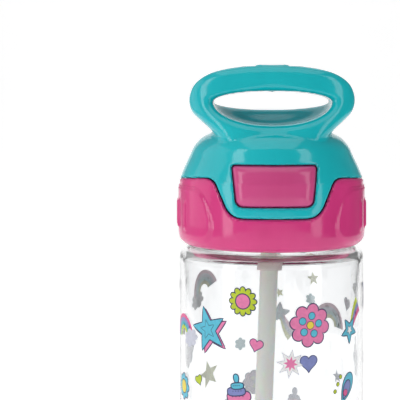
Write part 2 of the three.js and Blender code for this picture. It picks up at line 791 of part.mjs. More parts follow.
const lid = new THREE.Group();
lid.add(node("flip_lid", flipLid(), COLOURS.teal));
lid.add(node("lid_liner", lidLiner(), COLOURS.teal));
lid.add(node("spout_plug", spoutPlug(), COLOURS.seal));
lid.add(node("latch_bracket", latchBracket(), COLOURS.white));
lid.add(node("bracket_screw_left", bracketScrew(SCREWS_AT[0]), COLOURS.steel));
lid.add(node("bracket_screw_right", bracketScrew(SCREWS_AT[1]), COLOURS.steel));
lid.add(node("push_button", pushButton(), COLOURS.pink));
lid.add(node("latch_slider", latchSlider(), COLOURS.white));
lid.add(node("button_spring_left", buttonSpring(SPRINGS_AT[0]), COLOURS.steel));
lid.add(node("button_spring_right", buttonSpring(SPRINGS_AT[1]), COLOURS.steel));

const root = new THREE.Group();
root.add(bottle, cap, lid);
export default root;
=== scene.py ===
"""The looks of a kids water bottle with a flip lid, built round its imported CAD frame.

Shapes are worked out in millimetres and become metres when a piece is made. Big moulded pieces are
fields: a function gives each point's distance from the surface, and skin() puts a mesh on it.
"""
import json
import math
import random

import bmesh
import bpy
import numpy as np
from mathutils import Matrix, Vector


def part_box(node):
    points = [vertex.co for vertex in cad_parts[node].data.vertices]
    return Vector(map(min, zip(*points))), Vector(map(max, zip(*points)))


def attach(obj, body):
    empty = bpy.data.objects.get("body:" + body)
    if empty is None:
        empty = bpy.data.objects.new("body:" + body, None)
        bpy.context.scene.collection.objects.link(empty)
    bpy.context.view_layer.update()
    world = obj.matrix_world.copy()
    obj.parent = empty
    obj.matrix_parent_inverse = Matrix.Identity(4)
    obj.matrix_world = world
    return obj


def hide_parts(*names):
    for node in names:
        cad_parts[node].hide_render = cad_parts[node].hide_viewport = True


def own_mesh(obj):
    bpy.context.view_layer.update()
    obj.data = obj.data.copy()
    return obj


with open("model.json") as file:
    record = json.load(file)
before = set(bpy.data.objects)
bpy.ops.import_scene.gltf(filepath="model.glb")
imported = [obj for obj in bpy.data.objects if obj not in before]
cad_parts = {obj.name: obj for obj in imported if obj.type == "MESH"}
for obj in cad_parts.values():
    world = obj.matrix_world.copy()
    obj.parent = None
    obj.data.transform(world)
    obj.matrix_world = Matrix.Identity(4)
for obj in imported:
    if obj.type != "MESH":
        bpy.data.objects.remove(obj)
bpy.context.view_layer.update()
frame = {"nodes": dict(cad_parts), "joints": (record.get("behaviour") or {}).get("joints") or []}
MM = 0.001


# ---------- sizes, from the frame where it holds them ----------

def box(node):
    """Lowest and highest corner of a CAD node, in millimetres."""
    low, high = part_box(node)
    return np.array(low) / MM, np.array(high) / MM


def joint(name):
    return next(j for j in frame["joints"] if j["name"] == name)


BODY_R = box("bottle_body")[1][0]
RIM_Z = box("bottle_body")[1][2]
COLLAR_LOW = box("screw_collar")[0][2]
INNER_LOW, INNER_HIGH = box("inner_cap")
SPOUT_LOW, SPOUT_HIGH = box("spout")
RING_LOW = box("spout_ring")[0][2]
LINER_LOW, LINER_HIGH = box("lid_liner")
PLUG_LOW, PLUG_HIGH = box("spout_plug")
LOOP_TOP = box("flip_lid")[1][2]
TAB_LOW = box("flip_lid")[0][2]
HINGE_Y, HINGE_Z = (c / MM for c in joint("lid_hinge")["pos_m"][1:])

WALL = 2.0  # of the bottle, the collar and the lid
SHOULDER_Z = RIM_Z - 14.4
NECK_R = BODY_R - 8.4
CAP_R = 37.1
PARTING_Z = 178.9  # plane between collar and lid, on the axis
PARTING_TILT = math.radians(3.2)  # it rises towards the front
PARTING_GAP = 0.3
LEAN_IN_Z = 178.8  # where the straight side starts to curve in
DECK_Z = RIM_Z + 2.1
DECK_T = 2.0
BASIN_R = INNER_HIGH[0]
THREAD_LEAD = 6.0
THREAD_TURNS = 1.15
THREAD_DEPTH = 1.4
BARREL_R, CLEAR_R, PIN_R, PIN_HALF = 2.4, 2.9, 1.0, 12.5
SPRING_Z = (box("button_spring_left")[0][2] + box("button_spring_left")[1][2]) / 2
SCREW_Y = -21.5
SCREW_X = (-9.5, 9.5)
SPRING_HALF, SPRING_Y = 5.2, 28  # room for the hinge spring: half width and front
FAR = 20  # past the ends of whatever is cut


# ---------- curves and fields ----------

def spline(points, steps=24):
    """A smooth curve through points, as many short steps."""
    p = np.array(points, float)
    p = np.vstack([2 * p[0] - p[1], p, 2 * p[-1] - p[-2]])
    t = np.linspace(0, 1, steps, endpoint=False)[:, None]
    parts = []
    for a, b, c, d in zip(p, p[1:], p[2:], p[3:]):
        parts.append(0.5 * (2 * b + (c - a) * t + (2 * a - 5 * b + 4 * c - d) * t**2
                            + (3 * b - a - 3 * c + d) * t**3))
    return np.vstack([*parts, p[-2:-1]])


def smooth_min(a, b, blend):
    h = np.clip(0.5 + 0.5 * (b - a) / blend, 0, 1)
    return b + (a - b) * h - blend * h * (1 - h)


def smooth_max(a, b, blend):
    return -smooth_min(-a, -b, blend)


def between(v, low, high):
    """Negative where v lies between low and high."""
    return np.maximum(low - v, v - high)


def outline_field(u, v, points):
    """Signed distance in a plane to a closed outline, negative inside it."""
    nearest = np.full(u.shape, np.inf)
    inside = np.zeros(u.shape, bool)
    for (ua, va), (ub, vb) in zip(points, [*points[1:], points[0]]):
        du, dv = ub - ua, vb - va
        length = du * du + dv * dv
        if length < 1e-12:
            continue
        t = np.clip(((u - ua) * du + (v - va) * dv) / length, 0, 1)
        nearest = np.minimum(nearest, (u - ua - t * du) ** 2 + (v - va - t * dv) ** 2)
        if dv:
            inside ^= ((va > v) != (vb > v)) & (u < ua + (v - va) * du / dv)
    return np.where(inside, -1, 1) * np.sqrt(nearest)


def bezier(a, control, b, steps=10):
    """Points of a quadratic curve after a, up to b."""
    t = np.linspace(0, 1, steps + 1)[1:, None]
    a, control, b = np.array(a, float), np.array(control, float), np.array(b, float)
    return [tuple(q) for q in (1 - t) ** 2 * a + 2 * t * (1 - t) * control + t**2 * b]


def mirrored(right):
    """A closed outline from its right half, drawn from the bottom up."""
    return right + [(-u, v) for u, v in reversed(right)]


def tab_outline(grow, top):
    """The lid's front tab, which flares at its shoulders into the lid's lower edge."""
    low, shoulder = TAB_LOW - grow, TAB_LOW + 15 - grow
    side = [(18.9 + grow, shoulder - 9.7), (21.9 + grow, shoulder - 2.5), (26.5 + grow, shoulder)]
    right = [(11.8, low), *bezier((11.8, low), (16.9 + grow, low), side[0])]
    right += bezier(side[1], (23.2 + grow, shoulder - 0.2), side[2])
    return mirrored([*right, (26.5 + grow, top)])


def window_outline(grow):
    """The button's window: a trapezoid with large lower corners."""
    top, low = TAB_LOW + 20 + grow, TAB_LOW + 4 - grow
    wide, narrow = 16.3 + grow, 15.1 + grow
    small, large = 1.4, 3.4
    right = [(narrow - large, low), *bezier((narrow - large, low), (narrow, low), (narrow, low + large))]
    return mirrored([*right, (wide, top - small), *bezier((wide, top - small), (wide, top), (wide - small, top))])


def side_table():
    """Angle, radius and slope factor of the outside of collar and lid, seen from a centre on the axis."""
    foot = spline([(31, COLLAR_LOW - 0.4), (32.6, COLLAR_LOW), (34.8, COLLAR_LOW + 0.6), (36.2, COLLAR_LOW + 1.9),
                   (36.9, COLLAR_LOW + 4.6), (CAP_R, COLLAR_LOW + 8)])
    dome = spline([(CAP_R, LEAN_IN_Z), (35.3, 183.4), (33.05, 188.2), (30.8, 192.7), (26.8, 196.4), (20, 198.7),
                   (10, 199.5), (0, 199.7)])
    line = np.vstack([[(0, COLLAR_LOW - 0.4)], foot, dome])
    r = np.interp(np.linspace(0, len(line) - 1, 6000), np.arange(len(line)), line[:, 0])
    z = np.interp(np.linspace(0, len(line) - 1, 6000), np.arange(len(line)), line[:, 1])
    angle = np.arctan2(z - SIDE_CENTRE, r)
    even = np.linspace(-math.pi / 2, math.pi / 2, 2400)
    radius = np.interp(even, angle, np.hypot(r, z - SIDE_CENTRE))
    spread = np.hanning(25)
    soft = np.convolve(np.pad(radius, 12, "edge"), spread / spread.sum(), "valid")
    return even, soft, 1 / np.hypot(1, np.gradient(soft, even) / soft)


SIDE_CENTRE = 168.0
SIDE = side_table()


def side_field(x, y, z):
    """Distance outside the shared outer surface of collar and lid."""
    r = np.hypot(x, y)
    angle = np.arctan2(z - SIDE_CENTRE, r)
    slope = np.interp(angle, SIDE[0], SIDE[2])
    return (np.hypot(r, z - SIDE_CENTRE) - np.interp(angle, SIDE[0], SIDE[1])) * slope


def over_parting(y, z):
    return y * math.sin(PARTING_TILT) + (z - PARTING_Z) * math.cos(PARTING_TILT)


def on_front(x, y, z, outline):
    """An outline drawn in X and Z, which counts on the front half only."""
    field = np.full(x.shape, 30.0)
    near = y < -8
    field[near] = outline_field(x[near], z[near], outline)
    return field


def knuckles(x, y, z, outline, low, high):
    return np.maximum(outline_field(y, z, outline), between(np.abs(x), low, high))


def hinge_cut(x, y, z, r, half):
    return np.maximum(np.hypot(y - HINGE_Y, z - HINGE_Z) - r, np.abs(x) - half)


def half_disc(start, steps=10):
    """The hinge barrel's outline round half a turn."""
    turns = np.linspace(start, start + math.pi, steps + 1)
    return [(HINGE_Y + BARREL_R * math.cos(a), HINGE_Z + BARREL_R * math.sin(a)) for a in turns]


def oval(u, v, half_u, half_v, power=2.0):
    """Distance, along rays from the centre, to an oval that grows squarer with power."""
    q = (np.abs(u / half_u) ** power + np.abs(v / half_v) ** power) ** (1 / power)
    along = np.hypot(u, v) * (1 - 1 / np.maximum(q, 1e-6))
    return np.where(q < 1e-4, -np.minimum(half_u, half_v), along)


# ---------- meshes ----------

BLOCK = 4  # cells of the grid that are worked out together


def grid_values(field, low, size, step):
    """Field values on a grid. A block far from the surface takes its centre's value."""
    blocks = [math.ceil(s / (step * BLOCK)) for s in size]
    at = [low[k] + step * BLOCK * (np.arange(n) + 0.5) - step / 2 for k, n in enumerate(blocks)]
    centres = np.stack(np.meshgrid(*at, indexing="ij"), -1).reshape(-1, 3)
    value = field(*centres.T)
    near = np.abs(value) < step * BLOCK * 1.3
    inner = (np.arange(BLOCK) - (BLOCK - 1) / 2) * step
    offsets = np.stack(np.meshgrid(inner, inner, inner, indexing="ij"), -1).reshape(-1, 3)
    cells = np.repeat(value[:, None], BLOCK**3, 1)
    points = (centres[near][:, None, :] + offsets[None]).reshape(-1, 3)
    cells[near] = field(*points.T).reshape(-1, BLOCK**3)
    cells = cells.reshape(*blocks, BLOCK, BLOCK, BLOCK).transpose(0, 3, 1, 4, 2, 5)
    return cells.reshape([n * BLOCK for n in blocks])


def skin(field, low, high, step):
    """Vertices and faces on a field's surface: one vertex in each cell that the surface crosses."""
    low = np.array(low, float) - step * BLOCK
    value = grid_values(field, low, np.array(high, float) - low + step * BLOCK, step)
    inside = value < 0
    shape = np.array(value.shape) - 1
    total, count = np.zeros((*shape, 3)), np.zeros(shape)
    for axis in range(3):
        others = [k for k in range(3) if k != axis]
        first = np.take(value, range(shape[axis]), axis)
        second = np.take(value, range(1, shape[axis] + 1), axis)
        crossed = (first < 0) != (second < 0)
        share = np.where(crossed, first / np.where(crossed, first - second, 1), 0)
        for du in (0, 1):
            for dv in (0, 1):
                cut = [slice(None)] * 3
                cut[others[0]] = slice(du, du + shape[others[0]])
                cut[others[1]] = slice(dv, dv + shape[others[1]])
                hit = crossed[tuple(cut)]
                total[..., axis] += share[tuple(cut)] * hit
                total[..., others[0]] += du * hit
                total[..., others[1]] += dv * hit
                count += hit
    used = count > 0
    number = np.full(shape, -1)
    number[used] = np.arange(used.sum())
    points = low + step * (np.argwhere(used) + total[used] / count[used][:, None])
    faces = []
    for axis in range(3):
        u, v = [k for k in range(3) if k != axis]
        first = np.take(inside, range(shape[axis]), axis)
        edge = first != np.take(inside, range(1, shape[axis] + 1), axis)
        where = np.argwhere(edge)
        where = where[(where[:, u] > 0) & (where[:, v] > 0) & (where[:, u] < shape[u]) & (where[:, v] < shape[v])]
        corners = []
        for du, dv in ((1, 1), (0, 1), (0, 0), (1, 0)):
            cell = where.copy()
            cell[:, u] -= du
            cell[:, v] -= dv
            corners.append(number[tuple(cell.T)])
        quads = np.stack(corners, 1)
        outwards = first[tuple(where.T)] == (axis != 1)
        quads[~outwards] = quads[~outwards][:, ::-1]
        faces.append(quads)
    return settle(field, points, step), np.vstack(faces)


def settle(field, points, step, rounds=2):
    """Moves points along the field's slope onto its surface."""
    reach = step * 0.2
    for _ in range(rounds):
        slope = np.empty_like(points)
        for axis in range(3):
            shift = np.zeros(3)
            shift[axis] = reach
            slope[:, axis] = (field(*(points + shift).T) - field(*(points - shift).T)) / (2 * reach)
        steepness = np.maximum((slope**2).sum(1), 0.2)
        move = slope * (field(*points.T) / steepness)[:, None]
        points = points + np.clip(move, -step, step)
    return points


def filleted(corners, steps=5):
    """A profile whose corners [r, z, radius] are rounded; a corner of two numbers stays sharp."""
    out = []
    for i, corner in enumerate(corners):
        here = Vector(corner[:2])
        before, after = Vector(corners[i - 1][:2]) - here, Vector(corners[(i + 1) % len(corners)][:2]) - here
        if len(corner) < 3:
            out.append(tuple(here))
            continue
        half = before.angle(after) / 2
        reach = min(corner[2] / math.tan(half), 0.49 * before.length, 0.49 * after.length)
        start, end = here + before.normalized() * reach, here + after.normalized() * reach
        out += [tuple(start), *bezier(start, here, end, steps)]
    return out


def turned(profile, around=128):
    """Vertices and faces of a solid of revolution about +Z. A profile off the axis closes on itself."""
    open_profile = abs(profile[0][0]) < 1e-9 and abs(profile[-1][0]) < 1e-9
    r, z = np.array(profile).T
    n = len(profile)
    a = np.linspace(0, 2 * math.pi, around, endpoint=False)
    points = np.stack([np.outer(np.cos(a), r), np.outer(np.sin(a), r), np.tile(z, (around, 1))], -1)
    i, j = np.meshgrid(np.arange(around), np.arange(n - 1 if open_profile else n), indexing="ij")
    i, j = i.ravel(), j.ravel()
    k, m = (i + 1) % around, (j + 1) % n
    return points.reshape(-1, 3), np.stack([i * n + j, k * n + j, k * n + m, i * n + m], 1)


def swept(path, radius, sides):
    """Vertices and faces of a round wire along a path, with rounded-off ends."""
    p = np.array(path, float)
    along = np.gradient(p, axis=0)
    along /= np.linalg.norm(along, axis=1)[:, None]
    across = np.cross(along[0], (0.31, 0.47, 0.83))
    rings = []
    for i, (q, t) in enumerate(zip(p, along)):
        across = across - t * (across @ t)
        across /= np.linalg.norm(across)
        other = np.cross(t, across)
        a = np.linspace(0, 2 * math.pi, sides, endpoint=False)[:, None]
        rings.append(q + radius * (np.cos(a) * across + np.sin(a) * other))
        if i in (0, len(p) - 1):
            cap = q + (rings[-1] - q) * 0.55 + t * radius * (0.35 if i else -0.35)
            rings.insert(len(rings) - 1 if i == 0 else len(rings), cap)
    n = len(rings)
    faces = [[i * sides + j, i * sides + (j + 1) % sides, (i + 1) * sides + (j + 1) % sides, (i + 1) * sides + j]
             for i in range(n - 1) for j in range(sides)]
    faces += [list(range(sides))[::-1], list(range((n - 1) * sides, n * sides))]
    return np.vstack(rings), faces


def mesh_object(name, points, faces, kinds=None):
    """A new object from vertices in millimetres. kinds holds each face's material number."""
    mesh = bpy.data.meshes.new(name)
    mesh.from_pydata((np.array(points) * MM).tolist(), [], [list(map(int, f)) for f in faces])
    if kinds:
        mesh.polygons.foreach_set("material_index", kinds)
    obj = bpy.data.objects.new(name, mesh)
    bpy.context.collection.objects.link(obj)
    work = bmesh.new()
    work.from_mesh(mesh)
    bmesh.ops.remove_doubles(work, verts=work.verts, dist=2e-7)
    bmesh.ops.recalc_face_normals(work, faces=work.faces)
    work.to_mesh(mesh)
    work.free()
    return obj


def combine(obj, other, operation):
    """Joins or cuts one mesh with another for good."""
    tool = obj.modifiers.new("combine", "BOOLEAN")
    tool.operation, tool.object, tool.solver = operation, other, "EXACT"
    dg = bpy.context.evaluated_depsgraph_get()
    done = bpy.data.meshes.new_from_object(obj.evaluated_get(dg))
    obj.modifiers.clear()
    obj.data = done
    bpy.data.objects.remove(other)


def rod_shape(r, low, high):
    return turned([(0, low), (r, low), (r, high), (0, high)], 32)


def block_shape(x, y, z):
    points = [(a, b, c) for a in x for b in y for c in z]
    return points, [(0, 1, 3, 2), (4, 6, 7, 5), (0, 4, 5, 1), (2, 3, 7, 6), (0, 2, 6, 4), (1, 5, 7, 3)]


def tool_object(shape, place=None):
    obj = mesh_object("tool", *shape)
    if place is not None:
        obj.data.transform(place)
    return obj


def piece(obj, body, material, slot_name, *nodes, crease=35):
    """Finishes a visible piece: material, shading, the body it rides on and the nodes it stands for."""
    obj.data.materials.clear()
    obj.data.materials.append(material)
    obj.data.shade_smooth()
    obj.data.set_sharp_from_angle(angle=math.radians(crease))
    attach(obj, body)
    if nodes:
        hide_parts(*nodes)
    return obj


def turned_piece(name, profile, around, body, material, slot_name, node, place=None):
    made = mesh_object(name, *turned(profile, around))
    if place is not None:
        made.data.transform(place)
    piece(made, body, material, slot_name, node)


def skinned_piece(name, field, step, body, material, slot_name, node):
    piece(mesh_object(name, *skin(field, *box(node), step)), body, material, slot_name, node, crease=60)


def swept_piece(name, path, radius, sides, body, *nodes):
    made = mesh_object(name, *swept(path, radius, sides))
    return piece(made, body, STEEL, "spring_steel", *nodes)


def shifted(x=0.0, y=0.0, z=0.0):
    return Matrix.Translation((x * MM, y * MM, z * MM))


# ---------- materials ----------

class Nodes:
    """A short way to build one material's nodes."""

    def __init__(self, name):
        self.material = bpy.data.materials.new(name)
        self.material.use_nodes = True
        self.tree = self.material.node_tree
        self.shader = self.tree.nodes["Principled BSDF"]
        self.place = self.add("ShaderNodeTexCoord").outputs["Object"]

    def add(self, kind, **values):
        node = self.tree.nodes.new(kind)
        for key, value in values.items():
            if hasattr(node, key):
                setattr(node, key, value)
            else:
                node.inputs[key.replace("_", " ").title()].default_value = value
        return node

    def link(self, source, target):
        self.tree.links.new(source, target)

    def noise(self, scale, detail, stretch=None):
        node = self.add("ShaderNodeTexNoise", scale=scale, detail=detail)
        source = self.place
        if stretch:
            mapping = self.add("ShaderNodeMapping")
            mapping.inputs["Scale"].default_value = stretch
            self.link(source, mapping.inputs["Vector"])
            source = mapping.outputs["Vector"]
        self.link(source, node.inputs["Vector"])
        return node.outputs["Fac"]

    def spread(self, source, low, high):
        """Carries a noise value, most of which lie in 0.3..0.7, to low..high."""
        node = self.add("ShaderNodeMapRange")
        for key, value in (("From Min", 0.3), ("From Max", 0.7), ("To Min", low), ("To Max", high)):
            node.inputs[key].default_value = value
        self.link(source, node.inputs["Value"])
        return node.outputs["Result"]

    def rough(self, source, low, high):
        self.link(self.spread(source, low, high), self.shader.inputs["Roughness"])

    def colours(self, source, first, second):
        node = self.add("ShaderNodeMix", data_type="RGBA")
        node.inputs[6].default_value = (*first, 1)
        node.inputs[7].default_value = (*second, 1)
        self.link(source, node.inputs["Factor"])
        self.link(node.outputs[2], self.shader.inputs["Base Color"])

    def bump(self, source, depth):
        node = self.add("ShaderNodeBump")
        node.inputs["Strength"].default_value = 1
        node.inputs["Distance"].default_value = depth
        self.link(source, node.inputs["Height"])
        self.link(node.outputs["Normal"], self.shader.inputs["Normal"])

    def set(self, **values):
        for key, value in values.items():
            self.shader.inputs[key.replace("_", " ")].default_value = value


def linear(colour):
    """A colour as it's seen, 0 to 255, as the light it reflects."""
    seen = [c / 255 for c in colour]
    return tuple(c / 12.92 if c < 0.04045 else ((c + 0.055) / 1.055) ** 2.4 for c in seen)


def moulded(name, colour, deeper, gloss, orange_peel=0.00001, soft=0.0):
    """Glossy moulded plastic: faint clouding from the melt's flow, fine scuffs and a slight orange peel."""
    n = Nodes(name)
    flow = n.noise(55, 4, (1, 1, 0.35))
    n.colours(n.spread(flow, 0, 1), linear(colour), linear(deeper))
    n.rough(n.noise(900, 5, (1, 1, 0.5)), gloss - 0.01, gloss + 0.03)
    n.bump(n.noise(420, 2), orange_peel)
    n.set(IOR=1.5)
    if soft:
        n.set(**{"Subsurface_Weight": soft, "Subsurface_Scale": 0.002, "Subsurface_Radius": (0.7, 1.0, 1.0)})
    return n.material


def clear_wall():
    """Clear copolyester: real glass-like walls with a faint ripple and dust-fine scuffs."""
    n = Nodes("clear_bottle")
    n.set(**{"Base_Color": (0.985, 0.992, 0.996, 1), "Transmission_Weight": 1.0, "IOR": 1.5})
    n.rough(n.noise(700, 5, (1, 1, 0.2)), 0.0, 0.035)
    n.bump(n.noise(28, 2, (1, 1, 0.4)), 0.00006)
    lamp = n.add("ShaderNodeLightPath")
    through = n.add("ShaderNodeBsdfTransparent")
    mix = n.add("ShaderNodeMixShader")
    out = n.tree.nodes["Material Output"]
    n.link(lamp.outputs["Is Shadow Ray"], mix.inputs["Fac"])
    n.link(n.shader.outputs["BSDF"], mix.inputs[1])
    n.link(through.outputs["BSDF"], mix.inputs[2])
    n.link(mix.outputs["Shader"], out.inputs["Surface"])
    return n.material


def rubbery(name, colour, deeper, soft=0.25):
    """Silicone: soft sheen, a fine matt skin and light that sinks in a little."""
    n = Nodes(name)
    n.colours(n.spread(n.noise(120, 4), 0, 1), linear(colour), linear(deeper))
    n.rough(n.noise(1600, 3), 0.42, 0.6)
    n.bump(n.noise(2200, 2), 0.00002)
    n.set(**{"Subsurface_Weight": soft, "Subsurface_Scale": 0.0025, "Sheen_Weight": 0.15, "IOR": 1.42})
    return n.material


def straw_plastic():
    """Translucent extruded tube with faint lines along its length."""
    n = Nodes("straw_plastic")
    n.colours(n.spread(n.noise(60, 3, (1, 1, 0.1)), 0, 1), linear((254, 246, 240)), linear((250, 240, 233)))
    n.rough(n.noise(1500, 2), 0.28, 0.32)
    n.bump(n.noise(1300, 2, (1, 1, 0.02)), 0.000001)
    n.set(**{"Transmission_Weight": 0.25, "Subsurface_Weight": 0.6, "Subsurface_Scale": 0.002, "IOR": 1.45})
    return n.material


def steel(name):
    """Drawn spring wire: bright metal with fine lines round it."""
    n = Nodes(name)
    n.colours(n.spread(n.noise(500, 4), 0, 1), (0.58, 0.59, 0.61), (0.42, 0.43, 0.45))
    n.rough(n.noise(2600, 4, (0.2, 1, 1)), 0.16, 0.34)
    n.bump(n.noise(3000, 2, (0.15, 1, 1)), 0.00001)
    n.set(Metallic=1.0)
    return n.material


TEAL = moulded("teal_plastic", (22, 194, 202), (12, 184, 194), 0.11, soft=0.12)
PINK = moulded("pink_plastic", (224, 64, 136), (212, 54, 126), 0.11, soft=0.12)
BUTTON_PINK = moulded("button_plastic", (216, 82, 142), (205, 70, 130), 0.14, soft=0.12)
# Painted shade: this pink is partly the inner cap's own deeper tone and partly darkened further to stand in for the
# shade under the collar; the spout clamp shares it.
DEEP_PINK_AND_PAINTED_SHADE = moulded("inner_cap_plastic", (176, 26, 92), (160, 20, 80), 0.22)
WHITE = moulded("latch_plastic", (240, 240, 238), (228, 228, 226), 0.32, 0.00002)
CLEAR = clear_wall()
SILICONE = rubbery("spout_silicone", (240, 226, 222), (232, 216, 212))
SEAL = rubbery("seal_silicone", (240, 239, 235), (229, 228, 224))
STRAW = straw_plastic()
STEEL = steel("spring_steel")


# ---------- the bottle ----------

def thread_shape(root_r, side, start_z):
    """A helical ridge that stands out of a neck where side is 1, or into a cap where it is -1."""
    per_turn, fade, half_root, half_tip, buried = 72, 8, 1.2, 0.5, 0.35
    steps = round(THREAD_TURNS * per_turn)
    points = []
    for i in range(steps + 1):
        a, z = 2 * math.pi * i / per_turn, start_z + THREAD_LEAD * i / per_turn
        rise = min(1, (i + 0.6) / fade, (steps - i + 0.6) / fade)
        root, tip = root_r - side * buried, root_r + side * THREAD_DEPTH * rise
        for r, dz in ((root, -half_root), (tip, -half_tip), (tip, half_tip), (root, half_root)):
            points.append((r * math.cos(a), r * math.sin(a), z + dz))
    faces = [[4 * i + j, 4 * i + (j + 1) % 4, 4 * i + 4 + (j + 1) % 4, 4 * i + 4 + j]
             for i in range(steps) for j in range(4)]
    return points, faces + [[0, 1, 2, 3], [4 * steps + k for k in (3, 2, 1, 0)]]


def bottle():
    inside, neck_in = BODY_R - WALL, NECK_R - WALL
    profile = filleted([
        (0, 2.4), (18, 1.9, 4), (24.6, 0, 1.6), (BODY_R, 0, 5.5), (BODY_R, SHOULDER_Z, 4.9),
        (NECK_R, SHOULDER_Z + 0.3, 1.2),
        (NECK_R, RIM_Z, 0.6), (neck_in, RIM_Z, 0.6), (neck_in, SHOULDER_Z - 1.3, 1.6),
        (inside, SHOULDER_Z - WALL, 3.6), (inside, 3.4, 4.4), (18, 4.6, 4), (0, 5.2),
    ], 8)
    made = mesh_object("bottle_wall", *turned(profile, 160))
    combine(made, tool_object(thread_shape(NECK_R, 1, 156.6)), "UNION")
    piece(made, "bottle", CLEAR, "clear_bottle", "bottle_body", crease=50)


def gasket():
    low, high = box("neck_gasket")
    inner = NECK_R - 1.7
    corners = [(r, z, 0.5) for r, z in ((inner, low[2]), (high[0], low[2]), (high[0], high[2]), (inner, high[2]))]
    turned_piece("gasket_ring", filleted(corners), 128, "gasket", SEAL, "seal_silicone", "neck_gasket")


# ---------- the screw cap ----------

RIB_ANGLES = (-24, -12, 0, 12, 24)
RIB_R = 0.8
RIB_LOW, RIB_HIGH = 160.9, 170.3  # the middles of a rib's round ends
PAD_RISE = 0.6  # of the grip pads on both flanks
FLANK_X = 15
BOSS_HALF, BOSS_Y = 28, -18  # the solid front of the collar, behind the lid's tab
RIM_OPEN_HALF = 28.4  # the rim leaves the front open this wide
SEAT_Y = 26  # the seat under the lid's edge ends short of the hinge
RIM_R, RIM_RISE = 33.8, 1.1  # the collar's upstanding rim, which centres the closed lid


def grip_outline():
    low, high, front = COLLAR_LOW + 2.5, COLLAR_LOW + 23.6, 28.6
    right = [(front - 8, low), *bezier((front - 8, low), (front + 1, low), (front, low + 9))]
    right += bezier((front, low + 9), (front - 2, high), (front - 8, high))
    return mirrored(right)


def collar_field(x, y, z):
    side = side_field(x, y, z)
    over = over_parting(y, z)
    r = np.hypot(x, y)
    pad = np.full(x.shape, 30.0)
    flank = np.abs(x) > FLANK_X
    pad[flank] = outline_field(y[flank], z[flank], grip_outline())
    outer = smooth_min(side, smooth_max(side - PAD_RISE, pad, 0.7), 0.35)
    for degrees in RIB_ANGLES:
        a = math.radians(degrees)
        rx, ry = (CAP_R + PAD_RISE) * math.cos(a), (CAP_R + PAD_RISE) * math.sin(a)
        along = z - np.clip(z, RIB_LOW, RIB_HIGH)
        rib = np.sqrt((np.abs(x) - rx) ** 2 + (y - ry) ** 2 + along**2) - RIB_R
        outer = smooth_min(outer, rib, 0.5)
    shell = smooth_max(outer, -(side + WALL), 0.5)
    flange = np.maximum(side + 0.6, -over - WALL)
    boss = np.maximum(np.maximum(side + 0.6, np.abs(x) - BOSS_HALF), np.maximum(y - BOSS_Y, TAB_LOW - 2.2 - z))
    field = np.minimum(shell, np.minimum(flange, boss))
    field = smooth_max(field, BASIN_R + PARTING_GAP - r, 0.4)
    field = smooth_max(field, over, 0.4)
    rim = np.maximum(between(r, BASIN_R + PARTING_GAP, RIM_R), between(over, -3, RIM_RISE))
    rim = np.maximum(rim, -np.maximum(np.abs(x) - RIM_OPEN_HALF, y))
    seat = np.maximum(between(r, RIM_R - 1, CAP_R - 0.8), between(over, -3, PARTING_GAP - 0.1))
    seat = np.maximum(seat, y - SEAT_Y)
    field = np.minimum(field, np.minimum(rim, seat))
    field = smooth_max(field, -on_front(x, y, z, tab_outline(0.35, 195)), 0.4)
    slot = np.maximum(between(z, HINGE_Z - 2.5, HINGE_Z + 2), np.maximum(np.abs(x) - SPRING_HALF, SPRING_Y - y))
    field = np.maximum(field, -slot)
    field = np.maximum(field, -hinge_cut(x, y, z, CLEAR_R, PIN_HALF + 0.4))
    arm = [*half_disc(0), (HINGE_Y - BARREL_R, HINGE_Z - 9), (HINGE_Y - 0.6, HINGE_Z - 9),
           (HINGE_Y + 1.8, HINGE_Z - 2.3)]
    field = smooth_min(field, knuckles(x, y, z, arm, 9.3, PIN_HALF), 0.15)
    return np.maximum(field, -hinge_cut(x, y, z, PIN_R + 0.08, FAR))


def collar():
    skinned_piece("collar_shell", collar_field, 0.5, "cap", PINK, "pink_cap", "screw_collar")


def inner_cap():
    wall, top = 1.5, DECK_Z + DECK_T
    inside = BASIN_R - wall
    profile = filleted([
        (inside, INNER_LOW[2]), (BASIN_R, INNER_LOW[2], 0.4), (BASIN_R, INNER_HIGH[2], 0.5),
        (inside, INNER_HIGH[2], 0.5),
        (inside, top, 1.2), (11.2, top, 0.5), (11.2, top + 4, 0.4), (9.7, top + 4, 0.4), (9.7, top),
        (7.3, top, 0.3), (7.3, DECK_Z, 0.3), (inside, DECK_Z),
    ])
    made = mesh_object("inner_cap_shell", *turned(profile))
    combine(made, tool_object(thread_shape(inside, -1, 154.8)), "UNION")
    combine(made, tool_object(block_shape((-5.4, 5.4), (-36, -28), (171.4, 175.2))), "DIFFERENCE")
    combine(made, tool_object(rod_shape(2, DECK_Z - 1, top + 1), shifted(y=VENT_Y)), "DIFFERENCE")
    piece(made, "cap", DEEP_PINK_AND_PAINTED_SHADE, "inner_cap_plastic", "inner_cap")


VENT_Y = 20.0


def vent():
    top = DECK_Z + DECK_T
    profile = filleted([
        (0, DECK_Z - 1.3), (4.2, DECK_Z - 0.9, 0.2), (4.2, DECK_Z - 0.3, 0.2), (1.7, DECK_Z - 0.3), (1.7, top + 0.3),
        (2.7, top + 0.3, 0.2), (1.4, top + 1.9, 0.5), (0, top + 1.9),
    ])
    turned_piece("vent_button", profile, 48, "cap", SEAL, "seal_silicone", "vent_valve", shifted(y=VENT_Y))


# ---------- the drinking path ----------

